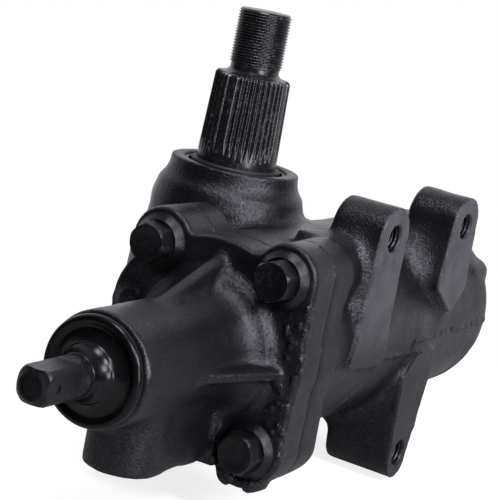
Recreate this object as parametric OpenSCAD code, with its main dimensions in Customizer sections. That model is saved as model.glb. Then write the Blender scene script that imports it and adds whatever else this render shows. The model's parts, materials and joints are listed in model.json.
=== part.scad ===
// Recirculating-ball steering gearbox with an integral power valve.
// Millimetres. The origin is on the pitman shaft's axis, at the foot of its nut thread.
// +X leaves the frame lugs' faces, +Y runs along the worm away from the input, +Z is the pitman shaft's end.

/* [Layout] */
// Distance between the pitman shaft's axis and the worm's axis
centre_distance = 54; // [50:0.5:60]
// Height of the seal face above the worm's axis
seal_face_height = 72.2; // [68:0.1:80]
// Swing of the pitman shaft to each side
swing_angle = 45; // [30:1:45]

/* [Pitman shaft] */
// Radius of the shaft where the seals run
shaft_radius = 21.25; // [20:0.05:22.5]
// Plain band between the seal face and the serrations
shaft_band = 4.6; // [3:0.1:8]
// Length of the tapered serrations
spline_length = 43; // [36:0.5:50]
// Radius at the small end of the serrations
spline_top_radius = 19.9; // [18.5:0.1:20.5]
// Number of serration places around the shaft
spline_places = 36; // [24:4:40]
// Depth of each serration groove
spline_depth = 1.5; // [0.8:0.1:2]
// Neck between the serrations and the thread
neck_length = 4.4; // [3:0.1:8]
// Radius of the neck
neck_radius = 13; // [11:0.1:13.5]
// Radius of the nut thread
thread_radius = 14; // [13.6:0.1:16]
// Length of the nut thread
thread_length = 29.6; // [22:0.2:36]
// Chamfer on the end of the thread
thread_chamfer = 1.6; // [0.8:0.1:2.5]
// Radius of the lower journal
lower_journal_radius = 17; // [15:0.1:18]
// Length of the lower journal
lower_journal_length = 20.5; // [16:0.5:24]

/* [Gear teeth] */
// Pitch radius of the toothed sector
pitch_radius = 27; // [25:0.1:28]
// Teeth that a full circle of this pitch would have
circle_teeth = 9; // [9:1:10]
// Pressure angle
pressure_angle = 25; // [23:0.5:27]
// Height of a sector tooth outside the pitch circle
sector_addendum = 5; // [4:0.1:5.2]
// Height of a rack tooth outside the pitch line
rack_addendum = 4.6; // [3.6:0.1:4.8]
// Room under every tooth tip
tip_clearance = 1.2; // [0.6:0.1:1.6]
// Play between the flanks on the pitch line
backlash = 0.3; // [0.2:0.05:0.5]
// Width of the sector teeth
tooth_width = 50; // [40:1:52]

/* [Worm and balls] */
// Turns of the worm for one turn of the pitman shaft
worm_ratio = 16; // [15:0.5:18]
// Radius of a ball
ball_radius = 3.3; // [2.8:0.1:3.4]
// Radius of the circle that the balls run on
ball_circle = 14; // [13.5:0.1:14.5]
// Room between a ball and its groove
groove_play = 0.3; // [0.25:0.01:0.35]
// Number of balls in the circuit
ball_count = 24; // [16:1:28]
// Radius of the worm's core
worm_core_radius = 8; // [7:0.1:9]
// Radius of the worm's neck
worm_neck_radius = 13; // [12:0.1:14]
// Outer radius of the ball nut
nut_radius = 19.5; // [18.8:0.1:20]
// Length of the ball nut
nut_length = 38; // [34:1:48]
// Radius of the ball return tube
return_tube_radius = 4.2; // [4:0.1:4.6]

/* [Rack piston] */
// Radius of the piston
piston_radius = 40; // [38.5:0.1:41]
// Reach of the piston towards the input
piston_front = 50; // [48:0.5:52]
// Reach of the piston away from the input
piston_rear = 92; // [84:1:96]
// Width of the piston ring
ring_width = 4; // [3:0.1:6]
// Thickness of the piston's end plug
end_plug_thickness = 12; // [8:0.5:16]
// Radial play of every running fit
running_play = 0.05; // [0.03:0.01:0.08]

/* [Gear housing] */
// Outer radius of the power cylinder
barrel_radius = 51.5; // [49:0.5:54]
// Reach of the cylinder's closed end
barrel_rear = 149; // [140:1:156]
// Rounding of the closed end
barrel_round = 10; // [6:0.5:14]
// Radius of the seal boss
boss_radius = 34.4; // [33.5:0.1:36]
// Radius of the swelling under the seal boss
boss_swell_radius = 41; // [39:0.5:43]
// Radius of the hollow around the sector
chamber_radius = 34.5; // [33.5:0.1:36]
// Wall of the hollow around the sector
chamber_wall = 12.5; // [10:0.5:14]
// Thickness of the housing's flange
housing_flange = 20; // [16:0.5:22]

/* [Frame lugs] */
// Distance of the lug faces from the pitman shaft's axis
lug_face = 108; // [106:0.5:116]
// Thickness of the lugs
lug_thickness = 29; // [24:0.5:34]
// Radius of a lug's rounded end
lug_radius = 16; // [13:0.5:18]
// Minor radius of the tapped lug holes
lug_hole_radius = 7; // [6:0.1:8]
// Radius of the countersink at a lug hole's mouth
lug_mouth_radius = 8.4; // [8.2:0.1:9]
// Position of the front lug along the worm
front_lug = -23.5; // [-26:0.5:-20]
// Spacing of the two upper lugs
lug_spacing = 93.5; // [86:0.5:98]
// Height of the upper lug holes above the worm's axis
upper_lug_height = 61.3; // [56:0.1:68]
// Position of the lower lug along the worm
lower_lug = 45; // [38:0.5:52]
// Depth of the lower lug hole below the worm's axis
lower_lug_drop = 63.5; // [60:0.5:70]

/* [Valve housing] */
// Thickness of the valve housing's flange
valve_flange = 20; // [16:0.5:24]
// Distance of the mating face from the pitman shaft's axis
mating_face = 76.5; // [74:0.5:84]
// Land between the flange seal's groove and the flange bolts
bolt_land = 1.2; // [1:0.1:3]
// Angle of the flange bolts above the flange's middle
bolt_angle = 50.8; // [48:0.2:54]
// Radius of the flange's ears
ear_radius = 17; // [15:0.5:18.5]
// Drop of the lower ears below their bolts
ear_drop = 3; // [0:0.5:4]
// Radius of the nose
nose_radius = 26.8; // [25.5:0.1:29]
// Reach of the nose towards the input
nose_front = 190; // [186:0.5:196]
// Radius of the cone where the nose meets the flange
cone_radius = 42; // [38:0.5:45]
// Length of that cone
cone_length = 30; // [24:1:36]
// Thickness of the nose's ribs
rib_thickness = 7; // [5:0.5:10]
// Radius of the port bosses
port_boss_radius = 18.5; // [16:0.5:20]
// Depth of the port faces below the worm's axis
port_drop = 51; // [46:0.5:56]
// Position of the pressure port along the worm
pressure_port = -152.5; // [-156:0.5:-148]
// Position of the return port along the worm
return_port = -118; // [-120:0.5:-114]
// Minor radius of the pressure port's thread
pressure_port_radius = 7.2; // [6.5:0.1:8]
// Minor radius of the return port's thread
return_port_radius = 8.2; // [7.5:0.1:9]
// Depth of the ports' threads
port_depth = 16; // [12:0.5:18]

/* [Flange bolts] */
// Radius of the flange bolts
bolt_radius = 6; // [5:0.5:7]
// Width across the flats of the bolt heads
bolt_flats = 17.5; // [16:0.5:19]
// Height of the bolts' hexagons
bolt_head_height = 11; // [8:0.5:13]
// Radius of the bolts' washer faces
bolt_washer_radius = 14; // [11.5:0.1:15]
// Thickness of the bolts' washer faces
bolt_washer_height = 3; // [2:0.1:4]

/* [Valve and input shaft] */
// Radius of the valve sleeve
sleeve_radius = 20; // [19:0.1:21]
// Length of the valve sleeve
sleeve_length = 54; // [50:1:58]
// Length of the input bearing
input_bearing_length = 12; // [10:0.5:14]
// Radius of the valve spool
spool_radius = 13; // [12.5:0.1:14]
// Radius of the input shaft where its seal runs
input_journal_radius = 11; // [10.5:0.1:11.8]
// Radius of the input shaft outside
input_radius = 9.7; // [9:0.1:10.4]
// Reach of the input shaft
input_tip = 238.5; // [230:0.5:245]
// Width of the input shaft's square
input_flats = 15.6; // [13:0.1:16.5]
// Length of the flats
flat_length = 24; // [18:0.5:28]
// Radius of the torsion bar
torsion_bar_radius = 4; // [3.5:0.1:4.4]
// Radius of the torsion bar's cross pin
cross_pin_radius = 2; // [1.5:0.1:2.4]
// Twist of the valve to each side
valve_twist = 4; // [2:0.5:5]

/* [Dust cover] */
// Radius of the dust cover
cover_radius = 25.4; // [24:0.1:26.5]
// Depth of the dust cover
cover_depth = 4.6; // [4:0.2:8]
// Gap between the dust cover and the nose
cover_gap = 0.6; // [0.4:0.1:2]
// Radius of the neck around the input shaft
cover_neck_radius = 13; // [11.5:0.1:15]

/* [Side cover] */
// Thickness of the side cover
side_cover_thickness = 12; // [9:0.5:14]
// Radius of the side cover's bolt circle
side_bolt_circle = 45; // [44.5:0.5:48]
// Radius of the side cover's bolts
side_bolt_radius = 5; // [4:0.5:5]
// Radius of the adjuster screw
adjuster_radius = 6; // [5:0.2:6.5]
// Length of the adjuster screw below its nut
adjuster_tail = 5; // [3:0.5:8]
// Height of the adjuster nut
adjuster_nut_height = 9; // [7:0.5:11]

/* [Hidden] */
$fn = 48;
worm_z = -(seal_face_height + shaft_band + spline_length + neck_length);
lead = 2 * PI * pitch_radius / worm_ratio;
travel = pitch_radius * swing_angle * PI / 180;
tooth_angle = 360 / circle_teeth;
rack_pitch = 2 * PI * pitch_radius / circle_teeth;
base_radius = pitch_radius * cos(pressure_angle);
sector_tip = pitch_radius + sector_addendum;
sector_root = pitch_radius - rack_addendum - tip_clearance;
half_tooth = 90 / circle_teeth - backlash / 4 / pitch_radius * 180 / PI;
rack_line = centre_distance - pitch_radius;
groove_radius = ball_radius + groove_play;
worm_radius = ball_circle - 0.8;
nut_bore = ball_circle + 0.8;
screw_front = -nut_length / 2 - travel - 4;
screw_rear = nut_length / 2 + travel + 4;
bore_radius = piston_radius + running_play;
bore_rear = piston_rear + travel + 3;
plug_radius = nut_bore + 6;
seat_plane = mating_face + valve_flange;
housing_flange_rear = mating_face - housing_flange;
chamber_outer = chamber_radius + chamber_wall;
chamber_top = tooth_width / 2 + 5;
sector_foot = -tooth_width / 2 - lower_journal_length;
cover_top = sector_foot - 2.5;
cover_bottom = cover_top - side_cover_thickness;
bush_radius = lower_journal_radius + 3;
bush_foot = sector_foot - 0.5;
bush_top = -tooth_width / 2 - 2;
bush_wall = 3.5;
spigot_top = -sqrt(bore_radius * bore_radius - pow(centre_distance - chamber_radius, 2)) - 1;
cover_boss = 6;
pocket_radius = adjuster_radius + 3.5;
pocket_depth = 7;
adjuster_foot = cover_bottom - cover_boss - adjuster_nut_height - adjuster_tail;
side_ear = side_bolt_radius + 4.5;
side_bolt_grip = 9;
recess_radius = shaft_radius + 6.35;
seal_depth = 14;
dust_seal_depth = 8;
needle_radius = 2;
needle_play = 0.02;
cup_bore = shaft_radius + running_play + 2 * needle_radius + needle_play;
cup_foot = chamber_top + 1.5;
cup_top = seal_face_height - seal_depth;
needle_circle = cup_bore - needle_radius - needle_play / 2;
snap_depth = 1.4;
snap_thickness = 1.6;
snap_radius = recess_radius + 1;
bearing_depth = 16;
bearing_radius = worm_neck_radius + 19;
bearing_ball = 4.5;
bearing_circle = (worm_neck_radius + bearing_radius) / 2 + 0.5;
bearing_shoulder = 4.6;
bearing_front = -mating_face - bearing_depth;
head_front = bearing_front - 11.5;
valve_bore = sleeve_radius + running_play;
sleeve_front = head_front - sleeve_length;
bore_front = sleeve_front - 5;
input_bearing_front = bore_front - input_bearing_length;
input_bearing_radius = input_journal_radius + 4;
input_seal_front = -nose_front + 3;
input_seal_radius = input_journal_radius + 6;
spool_bore = torsion_bar_radius + 1.5;
bar_seat_front = screw_front;
bar_seat_rear = screw_front + 20;
tip_recess = 0.8;
pin_place = -input_tip + 9;
cover_front = -nose_front - cover_gap - cover_depth;
cover_rear = -nose_front - cover_gap;
rear_lug = front_lug + lug_spacing;
seal_ring_radius = bore_radius + 4;
seal_ring_width = 3;
bolt_circle = seal_ring_radius + seal_ring_width + bolt_land + bolt_radius;
bolt_spacing_x = 2 * bolt_circle * cos(bolt_angle);
bolt_spacing_z = 2 * bolt_circle * sin(bolt_angle);
bolt_reach = valve_flange + housing_flange - 3;
rack_half = 2 * rack_pitch + 2;
return_leg = nut_length / 2 - 9;
return_reach = nut_radius + 7;
seat_height = 6;
seat_step = 1.5;
passage_step = 4.5;

// Places its children on the worm axis' height, with the pitman shaft's axis at x = y = 0
module at_height() {
    translate([0, 0, worm_z])
        children();
}

// Turns a local z axis into the worm's axis
module along_worm() {
    translate([centre_distance, 0, worm_z])
        rotate([-90, 0, 0])
            children();
}

// A round bar along the worm between two places
module worm_bar(front, rear, radius) {
    along_worm()
        translate([0, 0, front])
            cylinder(h = rear - front, r = radius);
}

// A ring along the worm
module worm_ring(front, rear, outer, inner) {
    along_worm()
        rotate_extrude()
            translate([inner, front])
                square([outer - inner, rear - front]);
}

// A ring around the pitman shaft's axis
module shaft_ring(foot, top, outer, inner) {
    at_height()
        rotate_extrude()
            translate([inner, foot])
                square([outer - inner, top - foot]);
}

// A slab whose outline is drawn in the worm's cross-section
module cross_slab(front, rear) {
    translate([centre_distance, rear, worm_z])
        rotate([90, 0, 0])
            linear_extrude(rear - front)
                children();
}

// A slab whose outline is drawn looking at the lug faces, with the worm to the right
module lug_slab(thickness) {
    translate([lug_face - thickness, 0, worm_z])
        rotate([90, 0, 90])
            linear_extrude(thickness)
                children();
}

// The four places of the flange bolts
module at_flange_bolts() {
    for (side = [-1, 1])
        for (level = [-1, 1])
            translate([side * bolt_spacing_x / 2, level * bolt_spacing_z / 2])
                children();
}

// Outline of the flange shared by the two housings
module flange_outline() {
    circle(r = barrel_radius + 1);
    at_flange_bolts()
        circle(r = ear_radius);
    translate([0, -bolt_spacing_z / 2])
        square([bolt_spacing_x / 2 + ear_radius - 0.4, bolt_spacing_z]);
    for (side = [-1, 1])
        translate([side * (bolt_spacing_x / 2 - ear_drop), -bolt_spacing_z / 2 - ear_drop])
            circle(r = ear_radius);
    translate([-bolt_spacing_x / 2 + ear_radius - 1.5, 8])
        circle(r = barrel_radius - 14);
}

// Outline of the front upper lug, which runs down to the parting line
module front_lug_outline() {
    translate([front_lug, upper_lug_height])
        circle(r = lug_radius);
    polygon([[front_lug - lug_radius + 0.1, upper_lug_height],
             [front_lug - lug_radius - 1, upper_lug_height / 2],
             [front_lug - lug_radius - 4, -3],
             [front_lug + lug_radius + 2, -6],
             [front_lug + lug_radius - 0.1, upper_lug_height]]);
}

// Outline of the rear upper lug, which ends in a slanting foot
module rear_lug_outline() {
    translate([rear_lug, upper_lug_height])
        circle(r = lug_radius);
    polygon([[rear_lug - lug_radius + 0.1, upper_lug_height],
             [rear_lug - lug_radius - 3.5, upper_lug_height - 33],
             [rear_lug + lug_radius / 3, upper_lug_height - 49],
             [rear_lug + lug_radius + 4, upper_lug_height - 36],
             [rear_lug + lug_radius - 0.1, upper_lug_height]]);
}

// Outline of the lower lug, a web that narrows towards its hole
module lower_lug_outline() {
    translate([lower_lug, -lower_lug_drop - 2.5])
        circle(r = lug_radius - 4.5);
    polygon([[lower_lug - lug_radius + 4.6, -lower_lug_drop - 2.5],
             [lower_lug - lug_radius, -18],
             [lower_lug - 2, -7],
             [lower_lug + lug_radius + 4, -7],
             [lower_lug + lug_radius + 4.5, -24],
             [lower_lug + lug_radius - 4.6, -lower_lug_drop - 2.5]]);
}

// The deeper root of the lower lug under the cylinder
module lower_lug_root() {
    hull() {
        lug_slab(lug_thickness + 9)
            translate([lower_lug - lug_radius / 2, -lower_lug_drop + 2])
                square([lug_radius, 2]);
        lug_slab(lug_thickness + 20)
            translate([lower_lug - lug_radius + 4, -barrel_radius])
                square([2 * lug_radius - 4, 8]);
    }
}

// The cast hollow between an upper lug's front edge and the cylinder
module lug_fillet(edge, foot, top, narrowing) {
    translate([lug_face, edge, worm_z + foot])
        linear_extrude(top - foot, scale = [1, narrowing])
            polygon([[-1, 1],
                     [-3, -0.6],
                     [-7, -3],
                     [-12, -7],
                     [-16, -12],
                     [-18, -18],
                     [-40, -18],
                     [-40, 1]]);
}

// A tapped lug hole with its countersunk mouth
module lug_hole(place, height, depth) {
    translate([lug_face - depth, place, worm_z + height])
        rotate([0, 90, 0]) {
            cylinder(h = depth + 1, r = lug_hole_radius);
            translate([0, 0, depth - (lug_mouth_radius - lug_hole_radius)])
                cylinder(h = lug_mouth_radius - lug_hole_radius,
                         r1 = lug_hole_radius, r2 = lug_mouth_radius);
        }
}

// Outer form of the power cylinder with its rounded end
module barrel_form() {
    along_worm()
        rotate_extrude() {
            translate([0, -mating_face])
                square([barrel_radius, mating_face + barrel_rear - barrel_round]);
            translate([0, barrel_rear - barrel_round - 1])
                square([barrel_radius - barrel_round, barrel_round + 1]);
            translate([barrel_radius - barrel_round, barrel_rear - barrel_round])
                intersection() {
                    circle(r = barrel_round);
                    square(barrel_round);
                }
        }
    along_worm()
        rotate(-34)
            translate([barrel_radius - 6.5, 0, barrel_rear - 24])
                cylinder(h = 23, r = 8);
}

// Outer form of the sector chamber and its seal boss
module chamber_form() {
    at_height()
        rotate_extrude()
            polygon([[0, cover_top],
                     [chamber_outer, cover_top],
                     [chamber_outer, 0],
                     [chamber_outer - 0.8, 20],
                     [chamber_outer - 2.5, chamber_top],
                     [boss_swell_radius + 1.5, chamber_top + 4],
                     [boss_swell_radius, chamber_top + 8],
                     [boss_swell_radius + 0.2, seal_face_height - 22],
                     [boss_swell_radius - 0.4, seal_face_height - 19],
                     [boss_swell_radius - 1.8, seal_face_height - 16],
                     [boss_swell_radius - 1.6, seal_face_height - 14],
                     [boss_swell_radius - 2.6, seal_face_height - 12],
                     [boss_radius + 1.2, seal_face_height - 9],
                     [boss_radius, seal_face_height - 5.5],
                     [boss_radius, seal_face_height - 1],
                     [boss_radius - 1, seal_face_height],
                     [0, seal_face_height]]);
}

// The bosses behind the two upper flange bolts
module flange_bosses() {
    along_worm()
        translate([-bolt_spacing_x / 2, -bolt_spacing_z / 2, -housing_flange_rear - 1])
            cylinder(h = 9, r1 = ear_radius, r2 = ear_radius - 5);
    along_worm()
        translate([bolt_spacing_x / 2, -bolt_spacing_z / 2, -housing_flange_rear - 1])
            cylinder(h = housing_flange_rear + front_lug, r1 = ear_radius, r2 = ear_radius - 8);
}

// The four ears that carry the side cover's bolts
module at_side_bolts() {
    for (turn = [45, 135, 225, 315])
        rotate(turn)
            translate([side_bolt_circle, 0, 0])
                children();
}

// Everything machined out of the gear housing
module housing_bores() {
    worm_bar(-mating_face - 1, bore_rear, bore_radius);
    at_height() {
        translate([0, 0, cover_top - 1])
            cylinder(h = chamber_top - cover_top + 1, r = chamber_radius);
        translate([0, 0, chamber_top - 1])
            cylinder(h = seal_face_height - chamber_top + 2, r = recess_radius);
        translate([0, 0, seal_face_height - snap_depth - snap_thickness])
            cylinder(h = snap_thickness, r = snap_radius);
        translate([0, 0, cover_bottom - 20])
            cylinder(h = cover_top - cover_bottom + 20, r = side_bolt_circle + side_ear + 1);
        translate([0, 0, cover_top - 1])
            at_side_bolts()
                cylinder(h = side_bolt_grip + 1, r = side_bolt_radius);
    }
    cross_slab(-mating_face - 1, -mating_face + bolt_reach - valve_flange)
        at_flange_bolts()
            circle(r = bolt_radius);
    lug_hole(front_lug, upper_lug_height, lug_thickness + 1);
    lug_hole(rear_lug, upper_lug_height, lug_thickness + 1);
    lug_hole(lower_lug, -lower_lug_drop, lug_thickness + 4);
}

module gear_housing() {
    color([0.12, 0.12, 0.13])
        difference() {
            union() {
                barrel_form();
                chamber_form();
                at_height()
                    translate([0, 0, cover_top])
                        at_side_bolts()
                            cylinder(h = 22, r = side_ear);
                cross_slab(-mating_face, -housing_flange_rear)
                    flange_outline();
                flange_bosses();
                lug_slab(lug_thickness)
                    front_lug_outline();
                lug_slab(lug_thickness)
                    rear_lug_outline();
                lug_slab(lug_thickness + 10)
                    lower_lug_outline();
                lower_lug_root();
                lug_fillet(front_lug - lug_radius, -3, upper_lug_height - 3, 0.8);
                lug_fillet(rear_lug - lug_radius, upper_lug_height - 33, upper_lug_height - 6, 0.15);
            }
            housing_bores();
        }
}

// Outer form of the nose with its hollow cone
module nose_form() {
    along_worm()
        rotate_extrude()
            polygon([[0, -nose_front],
                     [nose_radius - 1.2, -nose_front],
                     [nose_radius, -nose_front + 1.2],
                     [nose_radius, -seat_plane - cone_length],
                     [nose_radius + 1.2, -seat_plane - cone_length * 0.6],
                     [nose_radius + 3.6, -seat_plane - cone_length * 0.37],
                     [nose_radius + 7, -seat_plane - cone_length * 0.23],
                     [cone_radius - 5, -seat_plane - cone_length * 0.18],
                     [cone_radius - 4.2, -seat_plane - cone_length * 0.155],
                     [cone_radius - 4.4, -seat_plane - cone_length * 0.1],
                     [cone_radius - 3.4, -seat_plane - cone_length * 0.045],
                     [cone_radius - 1, -seat_plane - cone_length * 0.01],
                     [cone_radius, -seat_plane],
                     [cone_radius, -seat_plane + valve_flange / 2],
                     [0, -seat_plane + valve_flange / 2]]);
}

// The rib on top of the nose and the one on its lug side
module nose_ribs() {
    translate([centre_distance - rib_thickness / 2, 0, worm_z])
        rotate([90, 0, 90])
            linear_extrude(rib_thickness)
                polygon([[-seat_plane - 58, nose_radius - 2],
                         [-seat_plane + 2, barrel_radius - 6],
                         [-seat_plane + 2, nose_radius - 8]]);
    translate([centre_distance, 0, worm_z - rib_thickness + 1.5])
        linear_extrude(rib_thickness - 1)
            polygon([[nose_radius - 2, -seat_plane - 55],
                     [bolt_spacing_x / 2 + ear_radius - 6, -seat_plane + 2],
                     [nose_radius - 12, -seat_plane + 2]]);
}

// The joined bosses that carry the two ports under the nose, with their web to the flange
module port_form() {
    for (place = [pressure_port, return_port])
        translate([centre_distance, place, worm_z - port_drop])
            cylinder(h = port_drop, r = port_boss_radius);
    translate([centre_distance - port_boss_radius + 0.5, pressure_port, worm_z - port_drop + 1])
        cube([2 * port_boss_radius - 1, return_port - pressure_port, port_drop - 1]);
    translate([centre_distance - port_boss_radius + 1.5, return_port, worm_z - port_drop + 1.5])
        cube([2 * port_boss_radius - 3, -seat_plane + 2 - return_port, port_drop - 1.5]);
    translate([centre_distance - port_boss_radius + 2, -seat_plane - 8, worm_z - port_drop - 3])
        cube([2 * port_boss_radius + 1, 10, port_drop]);
}

// A port with its thread, its seat and its passage to the valve
module port_bore(place, radius) {
    translate([centre_distance, place, worm_z - port_drop - 1]) {
        cylinder(h = port_depth + 1, r = radius);
        cylinder(h = port_depth + seat_height + 1, r = radius - seat_step);
        cylinder(h = port_drop - sleeve_radius + 2, r = radius - passage_step);
    }
}

module valve_housing() {
    color([0.14, 0.14, 0.15])
        difference() {
            union() {
                cross_slab(-seat_plane, -mating_face)
                    flange_outline();
                nose_form();
                nose_ribs();
                port_form();
                cross_slab(-seat_plane - 3.2, -seat_plane + 4)
                    translate([-bolt_spacing_x / 2 - 10, 9])
                        circle(r = 7);
            }
            worm_bar(bearing_front, -mating_face + 1, bearing_radius);
            worm_bar(bore_front, -mating_face, valve_bore);
            worm_bar(input_bearing_front, bore_front + 1, input_bearing_radius);
            worm_bar(-nose_front - 1, input_bearing_front + 0.5, input_seal_radius);
            worm_ring(input_seal_front - 1.6, input_seal_front, input_seal_radius + 1, input_seal_radius - 1);
            worm_ring(-mating_face - 2.4, -mating_face + 1,
                      seal_ring_radius + seal_ring_width, seal_ring_radius);
            cross_slab(-mating_face - valve_flange - 1, -mating_face + 1)
                at_flange_bolts()
                    circle(r = bolt_radius);
            cross_slab(-seat_plane - bolt_head_height, -seat_plane)
                at_flange_bolts()
                    circle(r = bolt_washer_radius + 0.6);
            port_bore(pressure_port, pressure_port_radius);
            port_bore(return_port, return_port_radius);
        }
}

// A hexagon bolt with a washer face; its seat is at z = 0 and its shank goes up
module hex_bolt(radius, reach, flats, head, washer_radius, washer_height) {
    cylinder(h = reach, r = radius);
    translate([0, 0, -washer_height])
        cylinder(h = washer_height, r = washer_radius);
    translate([0, 0, -washer_height - head])
        intersection() {
            cylinder(h = head, r = flats / sqrt(3), $fn = 6);
            rotate_extrude()
                polygon([[0, 0],
                         [flats / 2 - 0.6, 0],
                         [flats / sqrt(3) + 0.5, 1.8],
                         [flats / sqrt(3) + 0.5, head],
                         [0, head]]);
        }
}

module valve_housing_bolts() {
    color([0.2, 0.2, 0.21])
        along_worm()
            translate([0, 0, -seat_plane])
                at_flange_bolts()
                    hex_bolt(bolt_radius, bolt_reach, bolt_flats, bolt_head_height,
                             bolt_washer_radius, bolt_washer_height);
}

module valve_housing_seal() {
    color([0.05, 0.05, 0.05])
        worm_ring(-mating_face - 2.4, -mating_face, seal_ring_radius + seal_ring_width, seal_ring_radius);
}

module side_cover() {
    color([0.16, 0.16, 0.17])
        at_height()
            difference() {
                union() {
                    translate([0, 0, cover_bottom])
                        cylinder(h = side_cover_thickness, r = chamber_outer);
                    translate([0, 0, cover_bottom])
                        at_side_bolts()
                            cylinder(h = side_cover_thickness, r = side_ear);
                    translate([0, 0, cover_top - 1])
                        cylinder(h = spigot_top - cover_top + 1, r = chamber_radius);
                    translate([0, 0, cover_top - 1])
                        cylinder(h = bush_top - cover_top + 1, r = bush_radius + bush_wall);
                    translate([0, 0, cover_bottom - cover_boss])
                        cylinder(h = cover_boss + 1, r = adjuster_radius + 8);
                }
                translate([0, 0, bush_foot])
                    cylinder(h = bush_top - bush_foot + 1, r = bush_radius);
                translate([0, 0, cover_bottom - cover_boss - 1])
                    cylinder(h = side_cover_thickness + cover_boss + 8, r = adjuster_radius);
                translate([0, 0, cover_bottom - 1])
                    at_side_bolts()
                        cylinder(h = side_cover_thickness + 2, r = side_bolt_radius);
                rotate_extrude()
                    translate([chamber_radius - 2.4, cover_top + 4])
                        square([3, 3]);
            }
}

module side_cover_bolts() {
    color([0.2, 0.2, 0.21])
        at_height()
            translate([0, 0, cover_bottom])
                at_side_bolts()
                    hex_bolt(side_bolt_radius, side_cover_thickness + side_bolt_grip, side_bolt_radius * 3,
                             side_bolt_radius * 1.4, side_bolt_radius * 1.8, 2);
}

module side_cover_seal() {
    color([0.05, 0.05, 0.05])
        at_height()
            rotate_extrude()
                translate([chamber_radius - 2.4, cover_top + 4])
                    square([2.4, 3]);
}

module side_cover_bush() {
    color([0.6, 0.45, 0.25])
        shaft_ring(bush_foot + 0.5, bush_top, bush_radius, lower_journal_radius + running_play);
}

module adjuster_screw() {
    color([0.3, 0.3, 0.32])
        at_height() {
            translate([0, 0, adjuster_foot])
                cylinder(h = sector_foot + 2 - adjuster_foot, r = adjuster_radius);
            translate([0, 0, sector_foot + 1.8])
                cylinder(h = pocket_depth - 2.2, r = pocket_radius - 0.3);
        }
}

module adjuster_nut() {
    color([0.25, 0.25, 0.27])
        at_height()
            translate([0, 0, cover_bottom - cover_boss - adjuster_nut_height])
                difference() {
                    cylinder(h = adjuster_nut_height, r = adjuster_radius * 1.95, $fn = 6);
                    translate([0, 0, -1])
                        cylinder(h = adjuster_nut_height + 2, r = adjuster_radius);
                }
}

module sector_bearing_cup() {
    color([0.5, 0.5, 0.52])
        shaft_ring(cup_foot, cup_top, recess_radius, cup_bore);
}

module sector_needles() {
    color([0.7, 0.7, 0.72])
        at_height()
            for (place = [0 : 15 : 345])
                rotate(place)
                    translate([needle_circle, 0, cup_foot + 1])
                        cylinder(h = cup_top - cup_foot - 2, r = needle_radius);
}

module sector_oil_seal() {
    color([0.08, 0.08, 0.08])
        shaft_ring(cup_top, seal_face_height - dust_seal_depth, recess_radius, shaft_radius + running_play);
}

module sector_dust_seal() {
    color([0.1, 0.1, 0.1])
        at_height()
            rotate_extrude()
                polygon([[shaft_radius + running_play, seal_face_height - dust_seal_depth],
                         [shaft_radius + 2.8, seal_face_height - dust_seal_depth],
                         [shaft_radius + 2.8, seal_face_height - 0.5],
                         [shaft_radius + 2.2, seal_face_height + 0.3],
                         [shaft_radius + running_play, seal_face_height + 0.3]]);
}

module sector_snap_ring() {
    color([0.4, 0.4, 0.42])
        at_height()
            translate([0, 0, seal_face_height - snap_depth - snap_thickness])
                linear_extrude(snap_thickness)
                    difference() {
                        circle(r = snap_radius);
                        circle(r = recess_radius - 2.2);
                        rotate(115)
                            square([snap_radius + 1, 7]);
                    }
}

// Angle by which an involute has unrolled at a radius
function involute(radius) =
    let (angle = acos(min(1, base_radius / radius)))
        tan(angle) * 180 / PI - angle;

// Half angle of a sector tooth at a radius
function tooth_half(radius) =
    half_tooth + tan(pressure_angle) * 180 / PI - pressure_angle - involute(max(radius, base_radius));

// Outline of one sector tooth pointing along +X
module sector_tooth() {
    steps = 6;
    low = sector_root - 1;
    flank = [for (step = [0 : steps]) base_radius + (sector_tip - base_radius) * step / steps];
    radii = concat([low], flank);
    polygon(concat([for (radius = radii) radius * [cos(tooth_half(radius)), sin(tooth_half(radius))]],
                   [for (place = [len(radii) - 1 : -1 : 0])
                        radii[place] * [cos(tooth_half(radii[place])), -sin(tooth_half(radii[place]))]]));
}

// One serration groove, cut deep enough for the tapered shaft and ending in a point at the big end
module spline_groove() {
    half = spline_depth * 0.75;
    lean = atan((shaft_radius - spline_top_radius) / spline_length);
    translate([shaft_radius, 0, seal_face_height + shaft_band + 1])
        rotate([0, -lean - 1.2, 0])
            linear_extrude(spline_length + 4)
                polygon([[-spline_depth * 0.45, 0], [2, half * 2.6], [2, -half * 2.6]]);
}

module sector_shaft() {
    color([0.22, 0.22, 0.23])
        at_height()
            difference() {
                union() {
                    rotate_extrude()
                        polygon([[0, sector_foot],
                                 [lower_journal_radius - 1, sector_foot],
                                 [lower_journal_radius, sector_foot + 1],
                                 [lower_journal_radius, -tooth_width / 2],
                                 [sector_root, -tooth_width / 2],
                                 [sector_root, tooth_width / 2],
                                 [shaft_radius, tooth_width / 2],
                                 [shaft_radius, seal_face_height + shaft_band],
                                 [spline_top_radius, seal_face_height + shaft_band + spline_length - 1.4],
                                 [spline_top_radius - 1.2, seal_face_height + shaft_band + spline_length],
                                 [neck_radius + 2, seal_face_height + shaft_band + spline_length],
                                 [neck_radius, seal_face_height + shaft_band + spline_length + 2],
                                 [neck_radius, -worm_z],
                                 [thread_radius, -worm_z],
                                 [thread_radius, -worm_z + thread_length - thread_chamfer],
                                 [thread_radius - thread_chamfer, -worm_z + thread_length],
                                 [0, -worm_z + thread_length]]);
                    translate([0, 0, -tooth_width / 2])
                        linear_extrude(tooth_width)
                            for (place = [-1 : 1])
                                rotate(place * tooth_angle)
                                    sector_tooth();
                }
                for (place = [0 : spline_places - 1])
                    if (place % (spline_places / 4) > 0)
                        rotate(360 * place / spline_places)
                            spline_groove();
                translate([0, 0, sector_foot - 1])
                    cylinder(h = pocket_depth + 1, r = pocket_radius);
            }
}

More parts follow.
